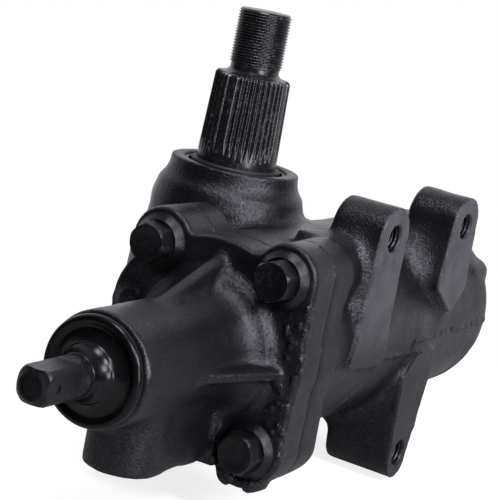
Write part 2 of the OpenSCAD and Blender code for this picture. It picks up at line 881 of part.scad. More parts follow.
module adjuster_retainer() {
    color([0.4, 0.4, 0.42])
        shaft_ring(sector_foot, sector_foot + 1.6, pocket_radius, adjuster_radius + 0.1);
}

// Outline of one gap between rack teeth, seen from above with the gap's floor at +X
module rack_gap() {
    half = rack_pitch / 4 + backlash / 4;
    slope = tan(pressure_angle);
    depth = sector_addendum + tip_clearance;
    polygon([[pitch_radius + depth, half - depth * slope],
             [pitch_radius - rack_addendum - 1, half + (rack_addendum + 1) * slope],
             [pitch_radius - rack_addendum - 1, -half - (rack_addendum + 1) * slope],
             [pitch_radius + depth, -half + depth * slope]]);
}

module rack_piston() {
    color([0.45, 0.45, 0.47])
        difference() {
            worm_bar(-piston_front, piston_rear, piston_radius);
            translate([-chamber_outer, -rack_half, worm_z - piston_radius - 1])
                cube([chamber_outer + pitch_radius - rack_addendum, 2 * rack_half, 2 * piston_radius + 2]);
            at_height()
                translate([0, 0, -piston_radius - 1])
                    linear_extrude(2 * piston_radius + 2)
                        for (place = [-1 : 1])
                            translate([0, place * rack_pitch])
                                rack_gap();
            worm_bar(-piston_front - 1, nut_length / 2, nut_radius);
            worm_bar(nut_length / 2 - 1, piston_rear - end_plug_thickness + 1, nut_bore);
            worm_bar(piston_rear - end_plug_thickness, piston_rear + 1, plug_radius);
            worm_ring(piston_rear - 20 - ring_width, piston_rear - 20, piston_radius + 1, piston_radius - 4);
            return_pocket();
        }
}

// Pocket for the return tube on the piston's lug side
module return_pocket() {
    translate([centre_distance + nut_radius - 1.5, -return_leg - 12, worm_z - 10])
        cube([piston_radius, 2 * return_leg + 24, 20]);
}

module piston_ring() {
    color([0.3, 0.3, 0.3])
        worm_ring(piston_rear - 20 - ring_width, piston_rear - 20, piston_radius, piston_radius - 4);
}

module piston_end_plug() {
    color([0.4, 0.4, 0.42])
        difference() {
            worm_bar(piston_rear - end_plug_thickness, piston_rear, plug_radius);
            worm_bar(piston_rear - 6, piston_rear + 1, 7);
        }
}

// Section of a helical ball groove across the worm, as a radius for each turn angle
function groove_depth(turn) =
    let (offset = lead * turn / 360)
        abs(offset) < groove_radius ? sqrt(groove_radius * groove_radius - offset * offset) : 0;

// A helical screw between two places along the worm, from an outline that turns with the lead
module helix(front, rear) {
    along_worm()
        translate([0, 0, front])
            rotate(360 * front / lead)
                linear_extrude(height = rear - front, twist = -360 * (rear - front) / lead,
                               slices = ceil(16 * (rear - front) / lead), $fn = 20)
                    children();
}

module worm_screw() {
    color([0.55, 0.55, 0.57])
        difference() {
            helix(screw_front, screw_rear)
                polygon([for (turn = [-180 : 18 : 162])
                            min(worm_radius, ball_circle - groove_depth(turn)) * [cos(turn), sin(turn)]]);
            worm_bar(screw_front - 1, screw_rear + 1, worm_core_radius);
        }
}

module ball_nut() {
    color([0.5, 0.48, 0.45])
        difference() {
            worm_bar(-nut_length / 2, nut_length / 2, nut_radius);
            helix(-nut_length / 2 - 1, nut_length / 2 + 1)
                polygon([for (turn = [-180 : 18 : 162])
                            max(nut_bore, ball_circle + groove_depth(turn)) * [cos(turn), sin(turn)]]);
            return_legs(return_tube_radius);
        }
}

module recirculating_balls() {
    color([0.75, 0.75, 0.77])
        for (place = [0 : ball_count - 1])
            along_worm()
                rotate(360 * (place - (ball_count - 1) / 2) * 37 / 360)
                    translate([ball_circle, 0, (place - (ball_count - 1) / 2) * 37 / 360 * lead])
                        sphere(r = ball_radius, $fn = 20);
}

// The two legs of the return tube, which stand on the nut
module return_legs(radius) {
    for (place = [-return_leg, return_leg])
        translate([centre_distance + nut_radius - 2, place, worm_z])
            rotate([0, 90, 0])
                cylinder(h = return_reach - nut_radius + 2, r = radius);
}

module ball_return_tube() {
    color([0.5, 0.5, 0.53])
        union() {
            return_legs(return_tube_radius);
            translate([centre_distance + return_reach, 0, worm_z])
                rotate([90, 0, 0])
                    cylinder(h = 2 * return_leg, r = return_tube_radius, center = true);
            for (place = [-return_leg, return_leg])
                translate([centre_distance + return_reach, place, worm_z])
                    sphere(r = return_tube_radius);
        }
}

module worm_shaft() {
    color([0.5, 0.5, 0.52])
        difference() {
            union() {
                worm_bar(head_front, bearing_front, sleeve_radius - 1);
                worm_bar(bearing_front - 1, screw_front, worm_neck_radius);
                worm_bar(screw_front - 1, screw_rear + 3, worm_core_radius);
            }
            worm_bar(head_front - 1, bar_seat_rear, spool_bore);
        }
}

module worm_bearing_cone() {
    color([0.6, 0.6, 0.62])
        along_worm()
            rotate_extrude()
                difference() {
                    translate([worm_neck_radius, bearing_front])
                        square([bearing_circle - worm_neck_radius - bearing_shoulder + 1.5, bearing_depth]);
                    translate([bearing_circle, bearing_front + bearing_depth / 2])
                        circle(r = bearing_ball);
                }
}

module worm_bearing_race() {
    color([0.6, 0.6, 0.62])
        along_worm()
            rotate_extrude()
                difference() {
                    translate([bearing_circle + bearing_shoulder - 1.5, bearing_front])
                        square([bearing_radius - bearing_circle - bearing_shoulder + 1.5, bearing_depth]);
                    translate([bearing_circle, bearing_front + bearing_depth / 2])
                        circle(r = bearing_ball + running_play);
                }
}

module worm_bearing_balls() {
    color([0.75, 0.75, 0.77])
        along_worm()
            for (place = [0 : 30 : 330])
                rotate(place)
                    translate([bearing_circle, 0, bearing_front + bearing_depth / 2])
                        sphere(r = bearing_ball, $fn = 20);
}

module valve_sleeve() {
    color([0.55, 0.5, 0.45])
        difference() {
            worm_bar(sleeve_front, head_front, sleeve_radius);
            worm_bar(sleeve_front - 1, head_front + 1, spool_radius + running_play);
            for (place = [1 : 4])
                worm_ring(sleeve_front + place * 11 - 1.5, sleeve_front + place * 11 + 1.5,
                          sleeve_radius + 1, sleeve_radius - 2);
        }
}

module valve_sleeve_rings() {
    color([0.3, 0.3, 0.3])
        for (place = [1 : 4])
            worm_ring(sleeve_front + place * 11 - 1.5, sleeve_front + place * 11 + 1.5,
                      sleeve_radius, sleeve_radius - 2);
}

module torsion_bar() {
    color([0.5, 0.5, 0.52])
        difference() {
            union() {
                worm_bar(-input_tip + tip_recess, bar_seat_rear, torsion_bar_radius);
                worm_bar(bar_seat_front, bar_seat_rear, spool_bore);
            }
            translate([centre_distance - 20, pin_place, worm_z])
                rotate([0, 90, 0])
                    cylinder(h = 40, r = cross_pin_radius + torsion_bar_radius * sin(valve_twist) + 0.1);
        }
}

module input_shaft() {
    color([0.25, 0.25, 0.26])
        difference() {
            union() {
                worm_bar(sleeve_front - 2, head_front - 2, spool_radius);
                worm_bar(-nose_front + 1, sleeve_front - 1, input_journal_radius);
                along_worm()
                    rotate_extrude()
                        polygon([[0, -input_tip],
                                 [input_radius - 3.6, -input_tip],
                                 [input_radius - 0.8, -input_tip + 2.2],
                                 [input_radius, -input_tip + 3.6],
                                 [input_radius, -nose_front + 2],
                                 [0, -nose_front + 2]]);
            }
            worm_bar(-input_tip - 1, head_front, torsion_bar_radius + running_play);
            worm_bar(-input_tip - 1, -input_tip + tip_recess, torsion_bar_radius + 1);
            for (turn = [0 : 90 : 270])
                translate([centre_distance, -input_tip, worm_z])
                    rotate([0, turn, 0])
                        translate([0, 0, input_flats / 2 + 10])
                            input_flat_cut();
            along_worm()
                for (turn = [0 : 60 : 300])
                    rotate(turn)
                        translate([spool_radius, 0, sleeve_front + 10])
                            cylinder(h = head_front - sleeve_front - 24, r = 2.2);
            translate([centre_distance - 20, pin_place, worm_z])
                rotate([0, 90, 0])
                    cylinder(h = 40, r = cross_pin_radius);
        }
}

// One flat of the input shaft, with the round run-out that its cutter leaves
module input_flat_cut() {
    translate([-15, -1, -10])
        cube([30, flat_length + 1, 20]);
    translate([-15, flat_length, 0])
        rotate([0, 90, 0])
            cylinder(h = 30, r = 10);
}

module torsion_bar_pin() {
    color([0.45, 0.45, 0.47])
        translate([centre_distance - input_flats / 2 + 0.5, pin_place, worm_z])
            rotate([0, 90, 0])
                cylinder(h = input_flats - 1, r = cross_pin_radius);
}

module input_dust_cover() {
    color([0.04, 0.04, 0.04])
        along_worm()
            rotate_extrude()
                polygon([[input_radius, cover_front + 2.6],
                         [input_radius, cover_front - 11],
                         [input_radius + 0.5, cover_front - 11],
                         [input_radius + 1.2, cover_front - 7],
                         [cover_neck_radius - 0.8, cover_front - 4.2],
                         [cover_neck_radius, cover_front - 3],
                         [cover_neck_radius, cover_front + 0.6],
                         [cover_radius - 7, cover_front + 1.2],
                         [cover_radius - 5, cover_front + 0.4],
                         [cover_radius - 3, cover_front],
                         [cover_radius - 1, cover_front + 0.8],
                         [cover_radius, cover_front + 3],
                         [cover_radius, cover_rear],
                         [cover_radius - 2.5, cover_rear],
                         [cover_radius - 2.5, cover_front + 3.4],
                         [input_radius + 3, cover_front + 3.4]]);
}

module input_bearing() {
    color([0.6, 0.6, 0.62])
        worm_ring(input_bearing_front + 0.5, bore_front, input_bearing_radius,
                  input_journal_radius + running_play);
}

module input_oil_seal() {
    color([0.08, 0.08, 0.08])
        worm_ring(input_seal_front, input_bearing_front + 0.5, input_seal_radius,
                  input_journal_radius + running_play);
}

module input_snap_ring() {
    color([0.4, 0.4, 0.42])
        worm_ring(input_seal_front - 1.6, input_seal_front, input_seal_radius + 1, input_seal_radius - 2.5);
}

// Flared seats pressed in above the ports' threads
module port_seats() {
    color([0.6, 0.5, 0.3])
        for (port = [[pressure_port, pressure_port_radius], [return_port, return_port_radius]])
            translate([centre_distance, port[0], worm_z - port_drop + port_depth])
                rotate_extrude()
                    polygon([[port[1] - passage_step + 0.8, 0],
                             [port[1] - seat_step, 2],
                             [port[1] - seat_step, seat_height],
                             [port[1] - passage_step, seat_height],
                             [port[1] - passage_step, 0.6]]);
}

gear_housing();
valve_housing();
valve_housing_bolts();
valve_housing_seal();
side_cover();
side_cover_bolts();
side_cover_seal();
side_cover_bush();
adjuster_screw();
adjuster_nut();
sector_bearing_cup();
sector_needles();
sector_oil_seal();
sector_dust_seal();
sector_snap_ring();
worm_bearing_race();
input_bearing();
input_oil_seal();
input_snap_ring();
port_seats();
sector_shaft();
adjuster_retainer();
rack_piston();
piston_ring();
ball_nut();
recirculating_balls();
ball_return_tube();
piston_end_plug();
worm_shaft();
worm_screw();
worm_bearing_cone();
worm_bearing_balls();
valve_sleeve();
valve_sleeve_rings();
torsion_bar();
input_shaft();
input_dust_cover();
torsion_bar_pin();
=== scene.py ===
import bpy
import bmesh
import json
import math
import numpy as np
from mathutils import Matrix, Vector


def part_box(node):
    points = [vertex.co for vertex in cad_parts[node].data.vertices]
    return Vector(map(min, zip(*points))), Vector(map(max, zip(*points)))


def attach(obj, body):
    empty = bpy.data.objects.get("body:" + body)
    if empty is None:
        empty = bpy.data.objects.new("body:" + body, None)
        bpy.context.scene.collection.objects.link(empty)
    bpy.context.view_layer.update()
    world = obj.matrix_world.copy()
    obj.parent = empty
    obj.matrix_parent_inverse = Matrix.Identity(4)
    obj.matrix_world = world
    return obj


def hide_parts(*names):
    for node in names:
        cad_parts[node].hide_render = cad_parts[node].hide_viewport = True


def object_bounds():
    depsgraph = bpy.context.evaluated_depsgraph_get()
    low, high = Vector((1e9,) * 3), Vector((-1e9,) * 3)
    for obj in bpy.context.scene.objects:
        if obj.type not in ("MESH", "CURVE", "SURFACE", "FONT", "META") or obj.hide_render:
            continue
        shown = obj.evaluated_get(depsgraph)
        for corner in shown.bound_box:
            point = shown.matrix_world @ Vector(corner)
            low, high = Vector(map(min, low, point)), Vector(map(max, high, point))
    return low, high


# Steering gearbox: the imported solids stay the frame, castings get a rough skin,
# and the pitman shaft's end, bolts, dust cover and tapped holes are worked out as surfaces.

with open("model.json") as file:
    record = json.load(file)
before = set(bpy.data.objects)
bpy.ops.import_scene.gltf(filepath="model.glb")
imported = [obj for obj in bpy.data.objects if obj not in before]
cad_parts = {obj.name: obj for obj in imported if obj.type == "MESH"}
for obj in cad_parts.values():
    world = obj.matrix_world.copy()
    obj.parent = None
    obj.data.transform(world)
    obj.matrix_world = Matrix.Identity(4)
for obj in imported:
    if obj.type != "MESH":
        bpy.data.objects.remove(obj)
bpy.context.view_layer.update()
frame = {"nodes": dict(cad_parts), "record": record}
nodes = frame["nodes"]
mounts = {m["name"]: m for m in frame["record"]["mounts"]}
print("frame loaded:", len(nodes), "nodes")

mm = 0.001
weldMade, weldCad = 1e-7, 1e-6  # points nearer than this become one
wormX = mounts["input_flats"]["pos_m"][0]
wormZ = mounts["input_flats"]["pos_m"][2]
lugFace = mounts["frame_face"]["pos_m"][0]


def ramp(value, length):
    # 0 to 1 over a length, held at both ends
    return np.clip(value / length, 0, 1)


def bell(value, wide):
    # exp(-(value / wide)^2)
    return np.exp(-(value / wide) ** 2)


def smoothFaces(mesh):
    mesh.polygons.foreach_set("use_smooth", np.ones(len(mesh.polygons), dtype=bool))


def sharpen(mesh, degrees):
    # smooth faces, with edges sharper than the angle kept crisp
    smoothFaces(mesh)
    mesh.set_sharp_from_angle(angle=math.radians(degrees))


def meshObject(name, points, faces, body, slotName):
    # points and faces go straight into a mesh whose object sits at the origin
    mesh = bpy.data.meshes.new(name)
    mesh.from_pydata(points.tolist(), [], faces)
    work = bmesh.new()
    work.from_mesh(mesh)
    bmesh.ops.remove_doubles(work, verts=work.verts, dist=weldMade)
    bmesh.ops.recalc_face_normals(work, faces=work.faces)
    work.to_mesh(mesh)
    work.free()
    mesh.update()
    mesh.materials.append(materials[slotName])
    obj = bpy.data.objects.new(name, mesh)
    bpy.context.scene.collection.objects.link(obj)
    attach(obj, body)
    return obj


def roundPoints(radius, height):
    # (r cos t, r sin t, h) from radius[row, column] and height[row, column]; columns go once round
    turn = np.linspace(0, 2 * np.pi, radius.shape[1], endpoint=False)[None, :]
    return np.stack([radius * np.cos(turn), radius * np.sin(turn), height], axis=-1).reshape(-1, 3)


def roundFaces(rows, cols, bands):
    # four-sided faces between each row and the next, for so many bands of rows
    r, c = np.meshgrid(np.arange(bands), np.arange(cols), indexing="ij")
    nextR, nextC = (r + 1) % rows, (c + 1) % cols
    faces = np.stack([r * cols + c, r * cols + nextC, nextR * cols + nextC, nextR * cols + c], axis=-1)
    return faces.reshape(-1, 4).tolist()


def tubeGrid(radius, height):
    # a tube of rows, closed by a flat cap at each end
    rows, cols = radius.shape
    faces = roundFaces(rows, cols, rows - 1)
    faces.append(list(range(cols - 1, -1, -1)))
    faces.append(list(range((rows - 1) * cols, rows * cols)))
    return roundPoints(radius, height), faces


def ringGrid(radius, height):
    # a closed ring: rows run round its section and meet again
    rows, cols = radius.shape
    return roundPoints(radius, height), roundFaces(rows, cols, rows)


def turnedRows(profile, cols):
    # (radius, height) pairs, each repeated round the axis
    profile = np.array(profile, float)
    return np.repeat(profile[:, :1], cols, axis=1), np.repeat(profile[:, 1:], cols, axis=1)


def stackRows(*bands):
    # bands of radius and height rows, one above the other
    return [np.vstack(rows) for rows in zip(*bands)]


def latheGrid(profile, cols):
    # a closed turned shape from (radius, height) pairs, bottom to top
    return tubeGrid(*turnedRows(profile, cols))


def joinGrids(parts):
    # several closed surfaces in one list of points and faces
    points, faces, start = [], [], 0
    for p, f in parts:
        points.append(p)
        faces += [[i + start for i in face] for face in f]
        start += len(p)
    return np.concatenate(points), faces


def alongWorm(points, spot, way=-1):
    # a shape made along z is laid along the worm's axis: to the front, or to the rear with way 1
    x, y, z = points.T
    return np.stack([x + spot[0], spot[1] + way * z, y + spot[2]], axis=-1)


scramble = {"steps": np.array((374761393, 668265263, 2147483647)), "seedStep": 144665,
            "mix": 1274126177, "shifts": (13, 16), "mask": 0x7FFFFFFF, "levels": 100003}


def valueNoise(points, cell, seed):
    # smooth random heights, -1 to 1, on a lattice of cubes: the eight corners blend by 3 u^2 - 2 u^3
    q = points / cell
    base = np.floor(q).astype(np.int64)
    part = q - base
    part = part * part * (3 - 2 * part)
    total = np.zeros(len(points))
    for corner in range(8):
        bit = np.array([corner & 1, corner >> 1 & 1, corner >> 2 & 1])
        h = ((base + bit) * scramble["steps"]).sum(axis=1)
        h = (h + seed * scramble["seedStep"]) & scramble["mask"]
        h = (h ^ (h >> scramble["shifts"][0])) * scramble["mix"] & scramble["mask"]
        value = (h ^ (h >> scramble["shifts"][1])) % scramble["levels"] / scramble["levels"]
        total += value * np.prod(np.where(bit, part, 1 - part), axis=1)
    return total * 2 - 1


def feed(tree, socket, value):
    # a number or a colour is set on the socket, and an output is linked to it
    if isinstance(value, tuple):
        socket.default_value = (*value, 1)
    elif isinstance(value, (int, float)):
        socket.default_value = value
    else:
        tree.links.new(value, socket)


def newGroup(name, ins, outs):
    # a node group whose outputs are all plain numbers
    group = bpy.data.node_groups.new(name, "ShaderNodeTree")
    for label, kind in ins.items():
        group.interface.new_socket(label, in_out="INPUT", socket_type=kind)
    for label in outs:
        group.interface.new_socket(label, in_out="OUTPUT", socket_type="NodeSocketFloat")
    return group, group.nodes.new("NodeGroupInput"), group.nodes.new("NodeGroupOutput")


def noiseNode(tree, vector, scale, detail, rough=0.6):
    node = tree.nodes.new("ShaderNodeTexNoise")
    for label, value in (("Vector", vector), ("Scale", scale), ("Detail", detail), ("Roughness", rough)):
        feed(tree, node.inputs[label], value)
    return node.outputs["Fac"]


def mathNode(tree, operation, a, b, clamp=False):
    node = tree.nodes.new("ShaderNodeMath")
    node.operation = operation
    node.use_clamp = clamp
    for socket, value in zip(node.inputs, (a, b)):
        feed(tree, socket, value)
    return node.outputs[0]


def mixColour(tree, factor, a, b):
    node = tree.nodes.new("ShaderNodeMix")
    node.data_type = "RGBA"
    for place, value in ((0, factor), (6, a), (7, b)):  # the colour sockets among the node's many
        feed(tree, node.inputs[place], value)
    return node.outputs[2]


def spread(tree, value, span, to=(0.0, 1.0)):
    # carries the span over to another range, held at both ends
    node = tree.nodes.new("ShaderNodeMapRange")
    labels = ("Value", "From Min", "From Max", "To Min", "To Max")
    for label, number in zip(labels, (value, *span, *to)):
        feed(tree, node.inputs[label], number)
    return node.outputs[0]


skinGrain = {"coarse": 720, "fine": 1500, "fineShare": 0.7, "detail": 3,
             "slow": 46, "slowDetail": 4, "mottle": (0.34, 0.68),
             "pitCells": 330, "pitChance": 0.86, "pitEdge": (0.10, 0.26), "pitDepth": 0.35}


def castGrainGroup():
    # sand-cast skin: height = coarse + share of fine - depth of pits, with a slow mottling of the paint
    v = skinGrain
    tree, gin, gout = newGroup("castGrain", {"Vector": "NodeSocketVector"}, ("Height", "Mottle", "Pits"))
    point = gin.outputs["Vector"]
    coarse = noiseNode(tree, point, v["coarse"], v["detail"])
    fine = noiseNode(tree, point, v["fine"], v["detail"])
    slow = noiseNode(tree, point, v["slow"], v["slowDetail"])
    cells = tree.nodes.new("ShaderNodeTexVoronoi")
    feed(tree, cells.inputs["Scale"], v["pitCells"])
    feed(tree, cells.inputs["Vector"], point)
    chance = tree.nodes.new("ShaderNodeSeparateColor")
    feed(tree, chance.inputs["Color"], cells.outputs["Color"])
    few = mathNode(tree, "GREATER_THAN", chance.outputs["Red"], v["pitChance"])
    dots = spread(tree, cells.outputs["Distance"], v["pitEdge"], (1.0, 0.0))
    pits = mathNode(tree, "MULTIPLY", dots, few)
    rough = mathNode(tree, "ADD", coarse, mathNode(tree, "MULTIPLY", fine, v["fineShare"]))
    height = mathNode(tree, "SUBTRACT", rough, mathNode(tree, "MULTIPLY", pits, v["pitDepth"]))
    feed(tree, gout.inputs["Height"], height)
    feed(tree, gout.inputs["Mottle"], spread(tree, slow, v["mottle"]))
    feed(tree, gout.inputs["Pits"], pits)
    return tree


rubMarks = {"scratchDetail": 5, "scratchRough": 0.7, "scratchSpan": (0.52, 0.72), "roughSpan": (0.3, 0.7),
            "blotch": 75, "blotchDetail": 4, "blotchSpan": (0.42, 0.66)}


def rubbedGroup():
    # fine turning or handling marks, with thin bright spots where scratches cross blotches
    v = rubMarks
    tree, gin, gout = newGroup("rubbedMetal", {"Vector": "NodeSocketVector", "Scale": "NodeSocketFloat"},
                               ("Height", "Rub"))
    point = gin.outputs["Vector"]
    scratch = noiseNode(tree, point, gin.outputs["Scale"], v["scratchDetail"], v["scratchRough"])
    blotch = noiseNode(tree, point, v["blotch"], v["blotchDetail"])
    rub = mathNode(tree, "MULTIPLY", spread(tree, scratch, v["scratchSpan"]),
                   spread(tree, blotch, v["blotchSpan"]))
    feed(tree, gout.inputs["Height"], scratch)
    feed(tree, gout.inputs["Rub"], rub)
    return tree


castGrain = castGrainGroup()
rubbedMetal = rubbedGroup()


def startMaterial(name):
    material = bpy.data.materials.new(name)
    material.use_nodes = True
    tree = material.node_tree
    shader = tree.nodes["Principled BSDF"]
    where = tree.nodes.new("ShaderNodeTexCoord").outputs["Object"]
    return material, tree, shader, where


def placeGroup(tree, group, where, **values):
    node = tree.nodes.new("ShaderNodeGroup")
    node.node_tree = group
    for label, value in {"Vector": where, **values}.items():
        feed(tree, node.inputs[label], value)
    return node.outputs


def pointMask(tree, label):
    # reads the number that is painted on a skin's points
    node = tree.nodes.new("ShaderNodeAttribute")
    node.attribute_name = label
    return node.outputs["Fac"]


def bumpInto(tree, shader, height, strength, distance):
    bump = tree.nodes.new("ShaderNodeBump")
    for label, value in (("Strength", strength), ("Distance", distance), ("Height", height)):
        feed(tree, bump.inputs[label], value)
    feed(tree, shader.inputs["Normal"], bump.outputs["Normal"])


castPaint = {"dark": (0.0030, 0.0028, 0.0037), "light": (0.0072, 0.0068, 0.0088),
             "worn": (0.16, 0.16, 0.17), "dusty": (0.046, 0.045, 0.052), "tint": (0.95, 0.93, 1.0),
             "chipSpan": (0.62, 0.80), "sheenSpan": (0.66, 1.04), "sheen": (0.22, 0.56),
             "rough": (0.37, 0.27), "hollowGloss": 0.08, "lift": (0.42, 1.4), "bump": 0.9, "depth": 0.7 * mm}


def castMaterial(name):
    # satin black paint over sand-cast iron; masks for roughness, wear, and dust with painted reflection are
    # on its points
    v = castPaint
    material, tree, shader, where = startMaterial(name)
    skin = placeGroup(tree, castGrain, where)
    rough, wear, dust = (pointMask(tree, label) for label in ("rough", "wear", "dust"))
    colour = mixColour(tree, skin["Mottle"], v["dark"], v["light"])
    # the lug faces' pale grey: partly dust, partly a painted reflection of the bright room
    colour = mixColour(tree, dust, colour, v["dusty"])
    # pits take the paint's darkest tone: painted shade in the pits
    colour = mixColour(tree, skin["Pits"], colour, v["dark"])
    chipped = mathNode(tree, "MULTIPLY", wear, spread(tree, skin["Height"], v["chipSpan"]), True)
    feed(tree, shader.inputs["Base Color"], mixColour(tree, chipped, colour, v["worn"]))
    gloss = mathNode(tree, "MULTIPLY", rough, v["hollowGloss"])
    dull = mathNode(tree, "SUBTRACT", spread(tree, skin["Mottle"], (0, 1), v["rough"]), gloss)
    feed(tree, shader.inputs["Roughness"], dull)
    sheen = spread(tree, skin["Height"], v["sheenSpan"], v["sheen"])
    feed(tree, shader.inputs["Specular IOR Level"], sheen)
    feed(tree, shader.inputs["Specular Tint"], v["tint"])
    height = mathNode(tree, "MULTIPLY", skin["Height"], spread(tree, rough, (0, 1), v["lift"]))
    bumpInto(tree, shader, height, v["bump"], v["depth"])
    return material


steels = {
    "painted_steel": {"name": "paintedSteel", "dark": (0.0045, 0.0043, 0.0052),
                      "light": (0.028, 0.027, 0.031), "rough": (0.24, 0.40), "metal": 0.0, "shine": 0.25,
                      "scale": 420, "bump": 0.5, "depth": 0.4 * mm},
    "dark_shaft_steel": {"name": "darkShaft", "dark": (0.0075, 0.0072, 0.0085),
                         "light": (0.13, 0.13, 0.14), "rough": (0.19, 0.36), "metal": 0.0, "shine": 0.65,
                         "scale": 520, "bump": 0.3, "depth": 0.2 * mm},
    "seal_rubber": {"name": "sealRubber", "dark": (0.006, 0.006, 0.0065),
                    "light": (0.016, 0.016, 0.018), "rough": (0.5, 0.65), "metal": 0.0, "shine": 0.5,
                    "scale": 700, "bump": 0.2, "depth": 0.2 * mm},
    "gloss_cover": {"name": "glossCover", "dark": (0.003, 0.003, 0.0035),
                    "light": (0.006, 0.006, 0.007), "rough": (0.20, 0.30), "metal": 0.0, "shine": 0.22,
                    "scale": 300, "bump": 0.05, "depth": 0.1 * mm},
    "bearing_bronze": {"name": "bearingBronze", "dark": (0.42, 0.30, 0.14),
                       "light": (0.6, 0.46, 0.24), "rough": (0.25, 0.4), "metal": 1.0, "shine": 0.5,
                       "scale": 600, "bump": 0.1, "depth": 0.1 * mm},
    "bright_steel": {"name": "brightSteel", "dark": (0.42, 0.42, 0.44),
                     "light": (0.62, 0.62, 0.64), "rough": (0.2, 0.35), "metal": 1.0, "shine": 0.5,
                     "scale": 600, "bump": 0.1, "depth": 0.1 * mm},
}


def steelMaterial(v):
    # steel, rubber or bronze: two colours and a roughness that follow the rubbed marks
    material, tree, shader, where = startMaterial(v["name"])
    marks = placeGroup(tree, rubbedMetal, where, Scale=v["scale"])
    feed(tree, shader.inputs["Base Color"], mixColour(tree, marks["Rub"], v["dark"], v["light"]))
    feed(tree, shader.inputs["Roughness"], spread(tree, marks["Height"], rubMarks["roughSpan"], v["rough"]))
    feed(tree, shader.inputs["Metallic"], v["metal"])
    feed(tree, shader.inputs["Specular IOR Level"], v["shine"])
    bumpInto(tree, shader, marks["Height"], v["bump"], v["depth"])
    return material


materials = {"painted_casting": castMaterial("castSkin")}
materials.update({slotName: steelMaterial(values) for slotName, values in steels.items()})
slotOf = {s["node"]: s["material_slot"] for s in frame["record"]["subparts"]}
for name, obj in nodes.items():
    obj.data.materials.clear()
    obj.data.materials.append(materials[slotOf[name]])
for name in ("torsion_bar", "torsion_bar_pin", "input_shaft"):  # these end in the open and are painted
    nodes[name].data.materials[0] = materials["painted_steel"]
print("materials ready:", len(materials))


castings = {
    "gear_housing": {"voxel": 1.35 * mm, "smooth": 12, "fill": 44, "lugFill": 160, "lugRelax": 90,
                     "settle": 4, "lump": 0.20 * mm, "grain": 0.30 * mm, "seed": 3},
    "valve_housing": {"voxel": 1.10 * mm, "smooth": 12, "fill": 30,
                      "settle": 4, "lump": 0.18 * mm, "grain": 0.26 * mm, "seed": 7},
}
skinSteps = {"push": 0.6, "back": -0.3, "fill": 0.6}


def remeshed(name, voxel):
    # a merged copy of the CAD node, rebuilt on an even grid
    copy = bpy.data.objects.new(name + "_copy", nodes[name].data.copy())
    bpy.context.scene.collection.objects.link(copy)
    work = bmesh.new()
    work.from_mesh(copy.data)
    bmesh.ops.remove_doubles(work, verts=work.verts, dist=weldCad)
    work.to_mesh(copy.data)
    work.free()
    grid = copy.modifiers.new("grid", "REMESH")
    grid.mode = "VOXEL"
    grid.voxel_size = voxel
    shape = bpy.data.meshes.new_from_object(copy.evaluated_get(bpy.context.evaluated_depsgraph_get()))
    bpy.data.objects.remove(copy)
    return shape


def readPoints(mesh):
    points = np.empty(len(mesh.vertices) * 3)
    mesh.vertices.foreach_get("co", points)
    return points.reshape(-1, 3)


def readNormals(mesh):
    normals = np.empty(len(mesh.vertices) * 3)
    mesh.vertex_normals.foreach_get("vector", normals)
    return normals.reshape(-1, 3)


def readEdges(mesh):
    edges = np.empty(len(mesh.edges) * 2, dtype=np.int64)
    mesh.edges.foreach_get("vertices", edges)
    return edges.reshape(-1, 2)


def movePoints(mesh, points):
    mesh.vertices.foreach_set("co", points.ravel())
    mesh.update()


def pointValues(mesh, label, values):
    # a number on each point, which the material reads by its label
    mesh.attributes.new(label, "FLOAT", "POINT").data.foreach_set("value", values.astype(np.float32))


def neighbourMean(points, edges, count):
    # mean place of the points at the other ends of each point's edges
    a, b = edges.T
    size = len(points)
    total = [np.bincount(a, axis[b], size) + np.bincount(b, axis[a], size) for axis in points.T]
    return np.stack(total, axis=-1) / count


def relaxed(points, edges, weight, rounds):
    # moves each point towards the mean of its neighbours, as far as its weight allows, then a little back
    count = np.bincount(edges.ravel(), minlength=len(points))[:, None]
    for push in (skinSteps["push"], skinSteps["back"]) * rounds:
        points = points + push * weight[:, None] * (neighbourMean(points, edges, count) - points)
    return points


def filled(points, edges, normals, weight, rounds):
    # hollows rise along their normals towards their neighbours and ridges stay, which leaves cast fillets
    count = np.bincount(edges.ravel(), minlength=len(points))[:, None]
    for _ in range(rounds):
        drift = neighbourMean(points, edges, count) - points
        rise = np.clip((drift * normals).sum(axis=1), 0, None)
        points = points + normals * (skinSteps["fill"] * rise * weight)[:, None]
    return points


def lugPlaces():
    # mouths of the three tapped lug holes, from the mounts: two upper ones, then the lower
    upper = mounts["upper_frame_bolts"]
    half = upper["dims"]["spacing_x_mm"] / 2 * mm
    y, z = upper["pos_m"][1:]
    low = mounts["lower_frame_bolt"]["pos_m"]
    return [(y - half, z), (y + half, z), (low[1], low[2])]


flangeBolt = {"flats": 18.5 * mm, "height": 14.0 * mm, "turns": (12, 37, 4, 51), "crisp": 35,
              "skirt": [(14.0, 0), (14.0, 1.3), (13.5, 1.7), (11.4, 4.0), (10.9, 4.6)],
              "face": [(7.2, 0.0), (6.4, -0.35), (3.0, -0.45)],
              "cornerCut": 1.135, "coneFoot": 1.155, "coneDrop": 2.2 * mm, "coneSlope": 0.75,
              "shank": 6 * mm, "shankLength": 37 * mm, "cols": 96, "rows": 12, "shankCols": 32}
gearCuts = {"skin": 0.8 * mm, "sealProud": 0.3 * mm, "sealFace": 36 * mm, "sealBore": 30 * mm,
            "sealFloor": 40 * mm, "coverDeep": 18 * mm, "joint": 1.5 * mm, "coverPad": 58 * mm,
            "cylinder": 41 * mm, "chamber": 35.5 * mm, "chamberTop": 32 * mm,
            "lugHole": 9 * mm, "lugDeep": 38 * mm, "boreRoom": 0.45 * mm, "boreWall": 2 * mm}
valveCuts = {"skin": 0.8 * mm, "bore": 21.5 * mm, "nose": 3 * mm, "noseShare": 0.1,
             "boltPad": 15.4 * mm, "padBehind": 1.2 * mm, "boltHole": 7 * mm}

